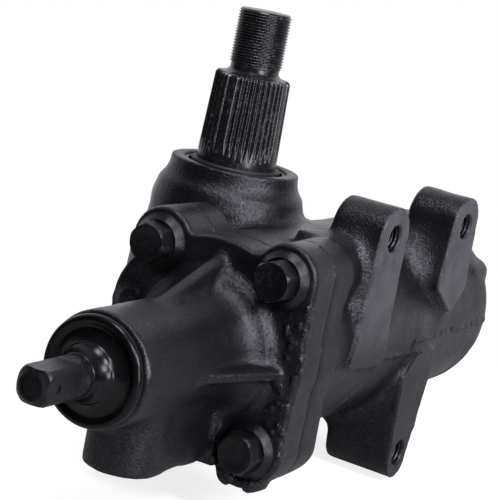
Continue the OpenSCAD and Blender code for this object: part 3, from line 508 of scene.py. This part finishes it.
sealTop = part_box("sector_dust_seal")[1].z - gearCuts["sealProud"]
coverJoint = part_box("side_cover")[0].z + gearCuts["coverDeep"]
boltLow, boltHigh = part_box("valve_housing_bolts")
boltReach = flangeBolt["skirt"][0][0] * mm
boltSide = ((boltHigh.x - boltLow.x) / 2 - boltReach, (boltHigh.z - boltLow.z) / 2 - boltReach)
boltSeat = boltLow.y + flangeBolt["height"]


def machined(name, points):
    # 0 on machined places, 1 on the cast skin
    x, y, z = points.T
    fromWorm = np.hypot(x - wormX, z - wormZ)
    fromShaft = np.hypot(x, y)
    low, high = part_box(name)
    weight = np.ones(len(points))
    if name == "gear_housing":
        v = gearCuts
        weight[x > lugFace - v["skin"]] = 0
        weight[(z > sealTop - v["skin"]) & (fromShaft < v["sealFace"])] = 0
        weight[(fromShaft < v["sealBore"]) & (z > wormZ + v["sealFloor"])] = 0
        weight[(np.abs(z - coverJoint) < v["joint"]) & (fromShaft < v["coverPad"])] = 0
        weight[(y < low.y + v["skin"]) | (fromWorm < v["cylinder"])] = 0
        weight[(fromShaft < v["chamber"]) & (z < wormZ + v["chamberTop"])] = 0
        for ly, lz in lugPlaces():
            weight[(np.hypot(y - ly, z - lz) < v["lugHole"]) & (x > lugFace - v["lugDeep"])] = 0
    else:
        v = valveCuts
        weight[(y > high.y - v["skin"]) | (fromWorm < v["bore"]) | (z < low.z + v["skin"])] = 0
        weight[y < low.y + v["nose"]] = v["noseShare"]
        fromBolt = np.hypot(np.abs(x - wormX) - boltSide[0], np.abs(z - wormZ) - boltSide[1])
        weight[(fromBolt < v["boltPad"]) & (y < boltSeat + v["padBehind"])] = 0
        weight[fromBolt < v["boltHole"]] = 0
    return weight


def clearBore(points):
    # opens the remeshed cylinder wall to the piston's radius and a little room, so that it slides free
    low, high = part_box("rack_piston")
    wanted = (high.x - low.x) / 2 + gearCuts["boreRoom"]
    flat = points[:, (0, 2)] - (wormX, wormZ)
    radius = np.hypot(*flat.T)
    wall = (radius > wanted - gearCuts["boreWall"]) & (radius < wanted)
    points[np.ix_(wall, (0, 2))] = flat[wall] * (wanted / radius[wall])[:, None] + (wormX, wormZ)


def trued(name, points, reach):
    # brings the rounded rims of the machined faces back to their planes, and clears the cylinder
    low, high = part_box(name)
    if name == "gear_housing":
        points[points[:, 1] < low.y + reach, 1] = low.y
        points[points[:, 0] > lugFace - reach, 0] = lugFace
        clearBore(points)
    else:
        points[points[:, 1] > high.y - reach, 1] = high.y
    return points


flutes = {"cone": 44 * mm, "coneFront": 15 * mm, "coneShare": 0.25,
          "groove": -2.5 * mm, "grooveHalf": 8 * mm, "grooveOut": 20 * mm, "grooveShare": 0.2,
          "boss": 47 * mm, "bossFoot": 52 * mm, "bossSide": 40 * mm, "bossShare": 0.12}


def hollowShare(name, points):
    # the flutes of the nose's cone and of the shaft's boss keep most of their depth
    v = flutes
    x, y, z = points.T
    share = np.ones(len(points))
    if name == "valve_housing":
        cone = (np.hypot(x - wormX, z - wormZ) < v["cone"]) & (y > boltSeat - v["coneFront"])
        groove = (np.abs(z - wormZ - v["groove"]) < v["grooveHalf"]) & (x > wormX + v["grooveOut"])
        share[cone] = v["coneShare"]
        share[groove] = v["grooveShare"]
    else:
        boss = (np.hypot(x, y) < v["boss"]) & (z > wormZ + v["bossFoot"]) & (x < v["bossSide"])
        share[boss] = v["bossShare"]
    return share


lugHollow = {"spans": [(-36, -10, -16), (-36, -13, 24)],  # from, to and lowest level, in mm from lug and worm
             "out": 18 * mm}


def lugHollows(points):
    # 1 in the wide cast hollows in front of the upper lugs
    x, y, z = points.T
    near = np.zeros(len(points), dtype=bool)
    for lug, (start, stop, low) in zip(lugPlaces(), lugHollow["spans"]):
        near |= (y > lug[0] + start * mm) & (y < lug[0] + stop * mm) & (z > wormZ + low * mm)
    return (near & (x > wormX + lugHollow["out"])).astype(float)


frontFoot = {"low": -14 * mm, "lowFade": 6 * mm, "high": 34 * mm, "highFade": 8 * mm,
             "front": -38 * mm, "frontFade": 5 * mm, "rear": -12 * mm, "rearFade": 3 * mm,
             "face": 2 * mm, "faceFade": 2 * mm, "out": 30 * mm}


def lugValley(points):
    # the foot of the front lug, where its fillet runs down the barrel: ramps from each side, multiplied
    v = frontFoot
    x, y, z = points.T
    level, place = z - wormZ, y - lugPlaces()[0][0]
    along = ramp(level - v["low"], v["lowFade"]) * ramp(v["high"] - level, v["highFade"])
    across = ramp(place - v["front"], v["frontFade"]) * ramp(v["rear"] - place, v["rearFade"])
    return along * across * ramp(lugFace - v["face"] - x, v["faceFade"]) * (x > wormX + v["out"])


flash = {"along": (-57, -43, 36, 42, 152), "level": (-1.5, -2.0, -6.5, 0.0, 0.0),
         "height": 1.0 * mm, "wide": 1.1 * mm, "full": 0.5 * mm, "out": 44 * mm, "faceGap": 0.6 * mm,
         "mean": 0.55, "fine": 3.1 * mm, "fineShare": 0.45, "fineSeed": 21,
         "slow": 11 * mm, "slowShare": 0.35, "slowSeed": 22, "limits": (0.1, 1.3)}


def partingLine(points):
    # flash along the mould's joint on the lug side of the cylinder: a bell across the joint, times noise
    v = flash
    x, y, z = points.T
    along = np.array(v["along"]) * mm
    level = wormZ + np.interp(y, along, np.array(v["level"]) * mm)
    ragged = v["mean"] + v["fineShare"] * valueNoise(points, v["fine"], v["fineSeed"])
    ragged = ragged + v["slowShare"] * valueNoise(points, v["slow"], v["slowSeed"])
    ridge = bell(z - level, v["wide"]) * v["height"] * np.clip(ragged, *v["limits"])
    onSide = (x > wormX + v["out"]) & (y > along[0]) & (x < lugFace - v["faceGap"])
    return np.where(onSide, ridge, 0)


creases = {"runs": [[(-62, 126), (-45, 131), (-35, 136), (-25, 140), (-15, 146), (-6, 149)],
                    [(-60, -26), (-33, -19), (-22, -13), (-10, -14), (-4, -14)]],  # degrees round, mm along
           "wide": 2.0 * mm, "depth": 0.9 * mm, "fade": 8}


def creaseDepth(points):
    # shallow grooves across the underside of the cylinder: a bell across each run, faded at its ends
    x, y, z = points.T
    angle = np.degrees(np.arctan2(z - wormZ, x - wormX))
    total = np.zeros(len(points))
    for pairs in creases["runs"]:
        at, along = np.array(pairs, float).T
        place = np.interp(angle, at, along) * mm
        fade = ramp(angle - at[0], creases["fade"]) * ramp(at[-1] - angle, creases["fade"])
        total += bell(y - place, creases["wide"]) * fade
    return total * creases["depth"]


beads = {"rise": 0.8 * mm, "cell": 2.8 * mm, "seed": 31, "floor": 0.05, "full": 0.4 * mm,
         "out": 40 * mm, "low": -46 * mm, "high": 34 * mm, "back": 4 * mm}


def edgeBeads(points):
    # rough beads of metal along the lug-side edge of the flange's front: the noise above a floor
    x, y, z = points.T
    near = (x - wormX > beads["out"]) & (z - wormZ > beads["low"]) & (z - wormZ < beads["high"])
    near &= y < boltSeat + beads["back"]
    rise = np.clip(valueNoise(points, beads["cell"], beads["seed"]) - beads["floor"], 0, 1) * beads["rise"]
    return np.where(near, rise, 0)


drips = {"runs": [(25.5, 5, -57, 6.5, 3.0), (38, 5, -59, 7.0, 2.6)],  # out, behind, level, radius, rise in mm
         "swell": 1.25}


def castDrips(points):
    # rounded runs of metal under the flange: swell * exp(-(distance / radius)^4), cut at 1
    total = np.zeros(len(points))
    for out, behind, level, radius, rise in np.array(drips["runs"]) * mm:
        apart = np.linalg.norm(points - (wormX + out, boltSeat + behind, wormZ + level), axis=1) / radius
        total = np.maximum(total, rise * np.clip(drips["swell"] * np.exp(-apart ** 4), 0, 1))
    return total


skinNoise = {"roughFull": 0.9 * mm, "roughCell": 17 * mm, "roughSeed": 5, "roughMean": 0.75,
             "roughSwing": 0.6, "lugCalm": 0.7, "lumpCell": 12 * mm, "grainCell": 2.9 * mm, "calm": 0.15,
             "scaleFull": 0.6 * mm, "scaleCell": 1.9 * mm, "scaleSeed": 61, "scaleRise": 0.16 * mm,
             "scaleShape": (1.0, 1.0, 0.45)}


def castRelief(name, points, hollow, scales):
    # how far the skin stands out, lumps + grains + scales + flash or beads, and how rough its paint is
    v = skinNoise
    values = castings[name]
    swing = v["roughMean"] + v["roughSwing"] * valueNoise(points, v["roughCell"], v["roughSeed"])
    rough = ramp(hollow, v["roughFull"]) * np.clip(swing, 0, 1)
    if name == "gear_housing":
        rough = rough * (1 - v["lugCalm"] * lugHollows(points))
        ridge, groove, full = partingLine(points), creaseDepth(points), flash["full"]
    else:
        ridge, groove, full = np.maximum(edgeBeads(points), castDrips(points)), 0, beads["full"]
    lumps = valueNoise(points, v["lumpCell"], values["seed"]) * values["lump"]
    grains = valueNoise(points, v["grainCell"], values["seed"] + 1) * values["grain"]
    grains = grains * (v["calm"] + (1 - v["calm"]) * rough)
    scaly = valueNoise(points * v["scaleShape"], v["scaleCell"], v["scaleSeed"]) * scales * v["scaleRise"]
    return lumps + grains + scaly + ridge - groove, np.maximum(rough, ramp(ridge, full))


rimWear = {"inner": 25.4 * mm, "deep": 1.7 * mm, "below": 2 * mm, "slope": 0.9,
           "cell": 9 * mm, "seed": 41, "gain": 2.2, "floor": 0.1}
faceDustAndReflection = {"fade": 14 * mm, "skin": 0.3 * mm, "cell": 6 * mm, "seed": 51, "mean": 0.8, "swing": 0.4}


def wornRim(name, points):
    # chipped paint on the lug side of the nose's rim: patches of noise above a floor
    v = rimWear
    if name != "valve_housing":
        return np.zeros(len(points))
    x, y, z = points.T
    out, level = x - wormX, z - wormZ
    rim = (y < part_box(name)[0].y + v["deep"]) & (np.hypot(out, level) > v["inner"])
    side = (level > -v["below"]) & (level < v["slope"] * out)
    return np.clip(v["gain"] * valueNoise(points, v["cell"], v["seed"]) - v["floor"], 0, 1) * (rim & side)


def dustAndReflectionOnFace(points):
    # pale grey on the lugs' faces, dust and a painted reflection, from none at the worm's level to its full
    # share above
    v = faceDustAndReflection
    share = v["mean"] + v["swing"] * valueNoise(points, v["cell"], v["seed"])
    return ramp(points[:, 2] - wormZ, v["fade"]) * share * (points[:, 0] > lugFace - v["skin"])


def castPiece(name):
    # the remeshed casting is smoothed, its hollows are filled to fillets, and the relief stands on that
    values = castings[name]
    mesh = remeshed(name, values["voxel"])
    edges = readEdges(mesh)
    points = readPoints(mesh)
    weight = machined(name, points)
    points = relaxed(points, edges, weight, values["smooth"])
    movePoints(mesh, points)
    normals = readNormals(mesh)
    rounded = filled(points, edges, normals, weight * hollowShare(name, points), values["fill"])
    hollow = np.linalg.norm(rounded - points, axis=1)
    points, scales = rounded, np.zeros(len(rounded))
    if name == "gear_housing":
        points = filled(rounded, edges, normals, weight * lugHollows(rounded), values["lugFill"])
        points = relaxed(points, edges, weight * lugValley(points), values["lugRelax"])
        scales = ramp(np.linalg.norm(points - rounded, axis=1), skinNoise["scaleFull"])
    points = relaxed(points, edges, weight, values["settle"])
    movePoints(mesh, points)
    rise, rough = castRelief(name, points, hollow, scales)
    points = trued(name, points + readNormals(mesh) * (rise * weight)[:, None], values["voxel"])
    movePoints(mesh, points)
    smoothFaces(mesh)
    pointValues(mesh, "rough", rough * weight)
    pointValues(mesh, "wear", wornRim(name, points))
    # dust and painted reflection on the lug faces
    pointValues(mesh, "dust", dustAndReflectionOnFace(points))
    mesh.materials.clear()
    mesh.materials.append(materials["painted_casting"])
    piece = bpy.data.objects.new(name + "_skin", mesh)
    bpy.context.scene.collection.objects.link(piece)
    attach(piece, "housing")
    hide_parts(name)
    print(name, "skin:", len(mesh.polygons), "faces")


for name in castings:
    castPiece(name)


pitmanEnd = {"pitch": 1.5 * mm, "threadRoot": 13.0 * mm, "threadFoot": -3.2 * mm, "threadStart": 0.2 * mm,
             "fadeIn": 1.5 * mm, "crestGain": 1.25, "crestCut": 0.1, "chamfer": 1.5 * mm, "chamferSlope": 0.9,
             "threadCols": 120, "rowsPerPitch": 10, "places": 40, "uncut": 4, "colsPerPlace": 14,
             "coneRows": 64, "coneStart": -0.02, "coneTop": 19.9 * mm, "grooveDepth": 1.55 * mm,
             "grooveHalf": 0.45, "steep": 1.12, "cutStart": 0.6 * mm, "runOut": 8 * mm, "mostLift": 1.2,
             "crown": 1.2 * mm, "crownSlope": 0.8, "hidden": (12 * mm, 2 * mm), "hubTop": 3 * mm,
             "shoulder": [(17.4, 0.25), (15.6, 0.6), (14.2, 1.3), (13.3, 2.4)]}


def threadGrid():
    # radius follows a triangle wave of z / pitch - turn, a right-hand helix, inside the end chamfer's cone
    v = pitmanEnd
    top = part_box("sector_shaft")[1].z
    outer = mounts["pitman_thread"]["dims"]["r_mm"] * mm
    rows = int((top - v["threadFoot"]) / v["pitch"] * v["rowsPerPitch"])
    z = np.repeat(np.linspace(v["threadFoot"], top, rows)[:, None], v["threadCols"], axis=1)
    turn = np.linspace(0, 1, v["threadCols"], endpoint=False)[None, :]
    phase = (z / v["pitch"] - turn) % 1.0
    ridge = np.clip(v["crestGain"] * (1 - np.abs(2 * phase - 1)) - v["crestCut"], 0, 1)
    radius = v["threadRoot"] + (outer - v["threadRoot"]) * ridge * ramp(z - v["threadStart"], v["fadeIn"])
    chamfer = outer - np.clip(z - (top - v["chamfer"]), 0, None) * v["chamferSlope"]
    return tubeGrid(np.minimum(radius, chamfer), z)


def splineGrid():
    # a cone less V cuts, each 1 - offset / half, that rise out of the metal towards the seal;
    # a few places stay uncut, and a rounded shoulder runs in to the thread
    v = pitmanEnd
    spline = mounts["pitman_spline"]
    foot = spline["pos_m"][2]
    length = spline["dims"]["length_mm"] * mm
    big = spline["dims"]["r_mm"] * mm
    cols = v["places"] * v["colsPerPlace"]
    place = np.linspace(0, 1, cols, endpoint=False) * v["places"]
    nearest = np.round(place)
    cut = nearest % (v["places"] // v["uncut"]) != 0
    vee = np.where(cut, np.clip(v["steep"] * (1 - np.abs(place - nearest) / v["grooveHalf"]), 0, 1), 0)
    climb = foot + length * np.linspace(v["coneStart"], 1, v["coneRows"])
    z = np.concatenate([foot - np.array(v["hidden"]), climb])
    body = big + (v["coneTop"] - big) * ramp(z - foot, length)
    lift = np.clip(1 - (z - foot + v["cutStart"]) / v["runOut"], 0, v["mostLift"])
    depth = np.clip(vee[None, :] - lift[:, None], 0, 1) * v["grooveDepth"]
    crown = np.clip(z - (foot + length - v["crown"]), 0, None) * v["crownSlope"]
    cone = (body[:, None] - depth - crown[:, None], np.repeat(z[:, None], cols, axis=1))
    shoulder = turnedRows(np.array(v["shoulder"]) * mm + (0, foot + length), cols)
    return tubeGrid(*stackRows(cone, shoulder))


def lowerShaft():
    # the CAD shaft below the serrations, cut by a plane and closed
    cut = mounts["pitman_spline"]["pos_m"][2] - pitmanEnd["hubTop"]
    work = bmesh.new()
    work.from_mesh(nodes["sector_shaft"].data)
    bmesh.ops.remove_doubles(work, verts=work.verts, dist=weldCad)
    result = bmesh.ops.bisect_plane(work, geom=work.verts[:] + work.edges[:] + work.faces[:],
                                    plane_co=(0, 0, cut), plane_no=(0, 0, 1), clear_outer=True)
    rim = [e for e in result["geom_cut"] if isinstance(e, bmesh.types.BMEdge)]
    bmesh.ops.holes_fill(work, edges=rim)
    work.verts.index_update()
    points = np.array([v.co[:] for v in work.verts])
    faces = [[v.index for v in f.verts] for f in work.faces]
    work.free()
    return points, faces


points, faces = joinGrids([threadGrid(), splineGrid()])
pitman = meshObject("pitman_shaft_end", points, faces, "sector", "dark_shaft_steel")
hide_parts("sector_shaft")
smoothFaces(pitman.data)
points, faces = lowerShaft()
hub = meshObject("pitman_shaft_hub", points, faces, "sector", "dark_shaft_steel")
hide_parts("sector_shaft")
print("pitman shaft:", len(pitman.data.polygons), "faces")


def hexHead(turn):
    # rows climb from the washer skirt to the head's face; the hexagon, flats / (2 cos angle) along
    # each flat, is cut by a shallow chamfer cone
    v = flangeBolt
    cols = v["cols"]
    angle = np.linspace(0, 2 * np.pi, cols, endpoint=False)[None, :]
    hexagon = v["flats"] / 2 / np.cos((angle + math.radians(turn)) % (np.pi / 3) - np.pi / 6)
    hexagon = np.minimum(hexagon, v["flats"] / 2 * v["cornerCut"])
    climb = np.linspace(v["skirt"][-1][1] * mm, v["height"], v["rows"])[:, None]
    taper = np.clip(climb - (v["height"] - v["coneDrop"]), 0, None) * v["coneSlope"]
    sides = np.minimum(np.repeat(hexagon, v["rows"], axis=0), v["flats"] / 2 * v["coneFoot"] - taper)
    skirt = turnedRows(np.array(v["skirt"]) * mm, cols)
    face = turnedRows(np.array(v["face"]) * mm + (0, v["height"]), cols)
    return tubeGrid(*stackRows(skirt, (sides, np.repeat(climb, cols, axis=1)), face))


def boltPieces():
    # four heads in front of the flange and their shanks behind it
    v = flangeBolt
    parts = []
    corners = ((-1, 1), (1, 1), (1, -1), (-1, -1))
    for (sideX, sideZ), turn in zip(corners, v["turns"]):
        spot = (wormX + sideX * boltSide[0], boltSeat, wormZ + sideZ * boltSide[1])
        points, faces = hexHead(turn)
        parts.append((alongWorm(points, spot), faces))
        points, faces = latheGrid([(v["shank"], 0), (v["shank"], v["shankLength"])], v["shankCols"])
        parts.append((alongWorm(points, spot, 1), faces))
    points, faces = joinGrids(parts)
    piece = meshObject("flange_bolts", points, faces, "housing", "painted_steel")
    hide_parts("valve_housing_bolts")
    sharpen(piece.data, v["crisp"])


boltPieces()

dustCover = {"profile": [(9.0, 0.9), (23.4, 0.9), (25.1, 1.1), (25.45, 2.4), (25.2, 3.6), (24.4, 4.7),
                         (23.2, 5.2), (22.0, 5.0), (20.9, 4.3), (19.9, 3.9), (18.6, 4.1), (16.4, 5.3),
                         (14.2, 6.9), (13.5, 7.8), (13.2, 8.5), (12.6, 9.2), (11.9, 10.2), (11.2, 11.6),
                         (10.6, 13.2), (10.2, 14.8), (9.9, 16.0), (9.3, 16.1)],
             "steps": 140, "soft": 7, "ends": (10, -6), "cols": 160, "crisp": 50}


def coverPiece():
    # a turned boot: rolled rim, shallow groove, cone up to the neck round the shaft;
    # its profile is a running mean of the corners, but for the two ends
    v = dustCover
    corners = np.array(v["profile"]) * mm
    places = np.arange(len(corners))
    steps = np.linspace(0, len(corners) - 1, v["steps"])
    profile = np.stack([np.interp(steps, places, column) for column in corners.T], axis=-1)
    mean = np.ones(v["soft"]) / v["soft"]
    keep = slice(*v["ends"])
    for column in profile.T:
        column[keep] = np.convolve(column, mean, "same")[keep]
    points, faces = latheGrid(profile, v["cols"])
    spot = (wormX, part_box("valve_housing")[0].y, wormZ)
    piece = meshObject("dust_boot", alongWorm(points, spot), faces, "input", "gloss_cover")
    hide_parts("input_dust_cover")
    sharpen(piece.data, v["crisp"])


coverPiece()

lugThread = {"pitch": 2.0 * mm, "depth": 0.7 * mm, "length": 27 * mm, "tight": 0.1 * mm,
             "waveGain": 1.3, "waveCut": 0.15, "middle": 0.75,
             "mouth": 8.5 * mm, "mouthDepth": 1.5 * mm, "mouthInset": 0.02 * mm, "wall": 0.9 * mm,
             "cols": 64, "rowsPerPitch": 8}


def tappedHole(radius):
    # an inner wall with a triangle wave of depth / pitch + turn, a right-hand thread, and a chamfered
    # mouth, backed by a plain outer wall
    v = lugThread
    depth = np.linspace(v["mouthDepth"], v["length"], int(v["length"] / v["pitch"] * v["rowsPerPitch"]))
    z = np.repeat(depth[:, None], v["cols"], axis=1)
    phase = (z / v["pitch"] + np.linspace(0, 1, v["cols"], endpoint=False)[None, :]) % 1.0
    wave = np.clip(v["waveGain"] * np.abs(2 * phase - 1) - v["waveCut"], 0, 1)
    inner = radius - v["tight"] + v["depth"] * (wave - v["middle"])
    outer = radius + v["wall"]
    mouth = turnedRows([(v["mouth"], v["mouthInset"])], v["cols"])
    backing = turnedRows([(outer, v["length"]), (outer, v["mouthDepth"])], v["cols"])
    return ringGrid(*stackRows(mouth, (inner, z), backing))


def lugThreads():
    # one tapped wall in each lug, in from the frame face
    radius = mounts["lower_frame_bolt"]["dims"]["r_mm"] * mm
    parts = []
    for ly, lz in lugPlaces():
        points, faces = tappedHole(radius)
        placed = np.stack([lugFace - points[:, 2], points[:, 0] + ly, points[:, 1] + lz], axis=-1)
        parts.append((placed, faces))
    points, faces = joinGrids(parts)
    piece = meshObject("lug_threads", points, faces, "housing", "painted_casting")
    smoothFaces(piece.data)


lugThreads()
print("bolts, boot and tapped holes made")


studio = {"floorDrop": 0.5 * mm, "floorReach": 0.42, "floorColour": (0.42, 0.42, 0.42), "floorSeen": 0.80,
          "floorRough": 0.9, "white": (1.0, 1.0, 1.0), "skyColour": (0.96, 0.93, 1.0), "skyDiffuse": 0.30,
          "frontGrey": 0.015, "skySpan": (0.18, 0.85), "away": (-0.446, 0.874, 0.19),
          "lampColour": (0.94, 0.93, 1.0), "lampAim": -20 * mm}


def seenDirectly(tree):
    # 1 for what the camera sees straight, or through something clear
    path = tree.nodes.new("ShaderNodeLightPath").outputs
    return path, mathNode(tree, "MAXIMUM", path["Is Camera Ray"], path["Is Transmission Ray"])


def paleFloor(name):
    # pale floor that bleaches to white for the camera and keeps a soft shadow
    material, tree, shader = startMaterial(name)[:3]
    feed(tree, shader.inputs["Base Color"], studio["floorColour"])
    feed(tree, shader.inputs["Roughness"], studio["floorRough"])
    feed(tree, shader.inputs["Emission Color"], studio["white"])
    seen = seenDirectly(tree)[1]
    feed(tree, shader.inputs["Emission Strength"], mathNode(tree, "MULTIPLY", seen, studio["floorSeen"]))
    return material


low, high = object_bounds()
centre = (low + high) / 2
half = studio["floorReach"]
floorMesh = bpy.data.meshes.new("floor")
floorZ = low.z - studio["floorDrop"]
sides = ((-1, -1), (1, -1), (1, 1), (-1, 1))
corners = [(centre.x + a * half, centre.y + b * half, floorZ) for a, b in sides]
floorMesh.from_pydata(corners, [], [(0, 1, 2, 3)])
floor = bpy.data.objects.new("floor", floorMesh)
bpy.context.scene.collection.objects.link(floor)
floorMesh.materials.append(paleFloor("paleFloor"))

# a room that is bright behind the part and dark in front of it, and plain white to the camera
world = bpy.data.worlds.new("studio")
bpy.context.scene.world = world
world.use_nodes = True
sky = world.node_tree
background = sky.nodes["Background"]
path, seen = seenDirectly(sky)
facing = sky.nodes.new("ShaderNodeVectorMath")
facing.operation = "DOT_PRODUCT"
feed(sky, facing.inputs[0], sky.nodes.new("ShaderNodeTexCoord").outputs["Generated"])
facing.inputs[1].default_value = studio["away"]
room = spread(sky, facing.outputs["Value"], studio["skySpan"], (studio["frontGrey"], 1.0))
clear = mathNode(sky, "MAXIMUM", seen, path["Is Glossy Ray"])
strength = mathNode(sky, "MULTIPLY", mathNode(sky, "MAXIMUM", seen, room),
                    spread(sky, clear, (0, 1), (studio["skyDiffuse"], 1.0)))
feed(sky, background.inputs["Color"], mixColour(sky, seen, studio["skyColour"], studio["white"]))
feed(sky, background.inputs["Strength"], strength)

view = {"azimuth": 27.01, "elevation": 11.09, "roll": 11.58, "distance": 968.07 * mm, "right": 21.75 * mm,
        "up": 23.41 * mm, "focalPixels": 1800.0, "framePixels": 500, "sensor": 36, "nearest": 10 * mm}


def cameraAxes():
    # right, up and back of a camera that looks down at the part, rolled about its line of sight
    a, e, r = (math.radians(view[k]) for k in ("azimuth", "elevation", "roll"))
    back = Vector((math.sin(a) * math.cos(e), -math.cos(a) * math.cos(e), math.sin(e)))
    level = Vector((math.cos(a), math.sin(a), 0))
    rise = back.cross(level)
    return level * math.cos(r) + rise * math.sin(r), rise * math.cos(r) - level * math.sin(r), back


right, up, back = cameraAxes()
lens = bpy.data.cameras.new("camera")
lens.sensor_width = view["sensor"]
lens.lens = view["focalPixels"] / view["framePixels"] * view["sensor"]
lens.clip_start = view["nearest"]
camera = bpy.data.objects.new("camera", lens)
bpy.context.scene.collection.objects.link(camera)
eye = right * view["right"] + up * view["up"] + back * view["distance"] + Vector((0, 0, wormZ))
turn = Matrix((right, up, back)).transposed()
camera.matrix_world = Matrix.Translation(eye) @ turn.to_4x4()
bpy.context.scene.camera = camera

lamps = {
    "rightSoft": {"place": (0.98, -0.26, 0.40), "size": 0.34, "watts": 8.4},
    "topSoft": {"place": (0.12, -0.36, 0.92), "size": 0.32, "watts": 6.0},
    "keySoft": {"place": (0.69, -0.57, 0.58), "size": 0.26, "watts": 5.8},
    "lowSoft": {"place": (0.92, -0.48, -0.04), "size": 0.22, "watts": 3.2},
}


def softLamp(name, values):
    # a square lamp turned towards the middle of the part
    light = bpy.data.lights.new(name, "AREA")
    light.size = values["size"]
    light.energy = values["watts"]
    light.color = studio["lampColour"]
    lamp = bpy.data.objects.new(name, light)
    lamp.location = values["place"]
    aim = Vector((wormX, studio["lampAim"], wormZ)) - lamp.location
    lamp.rotation_euler = aim.to_track_quat("-Z", "Y").to_euler()
    bpy.context.scene.collection.objects.link(lamp)


for name, values in lamps.items():
    softLamp(name, values)
bpy.context.scene.view_settings.view_transform = "Standard"
print("stage set")
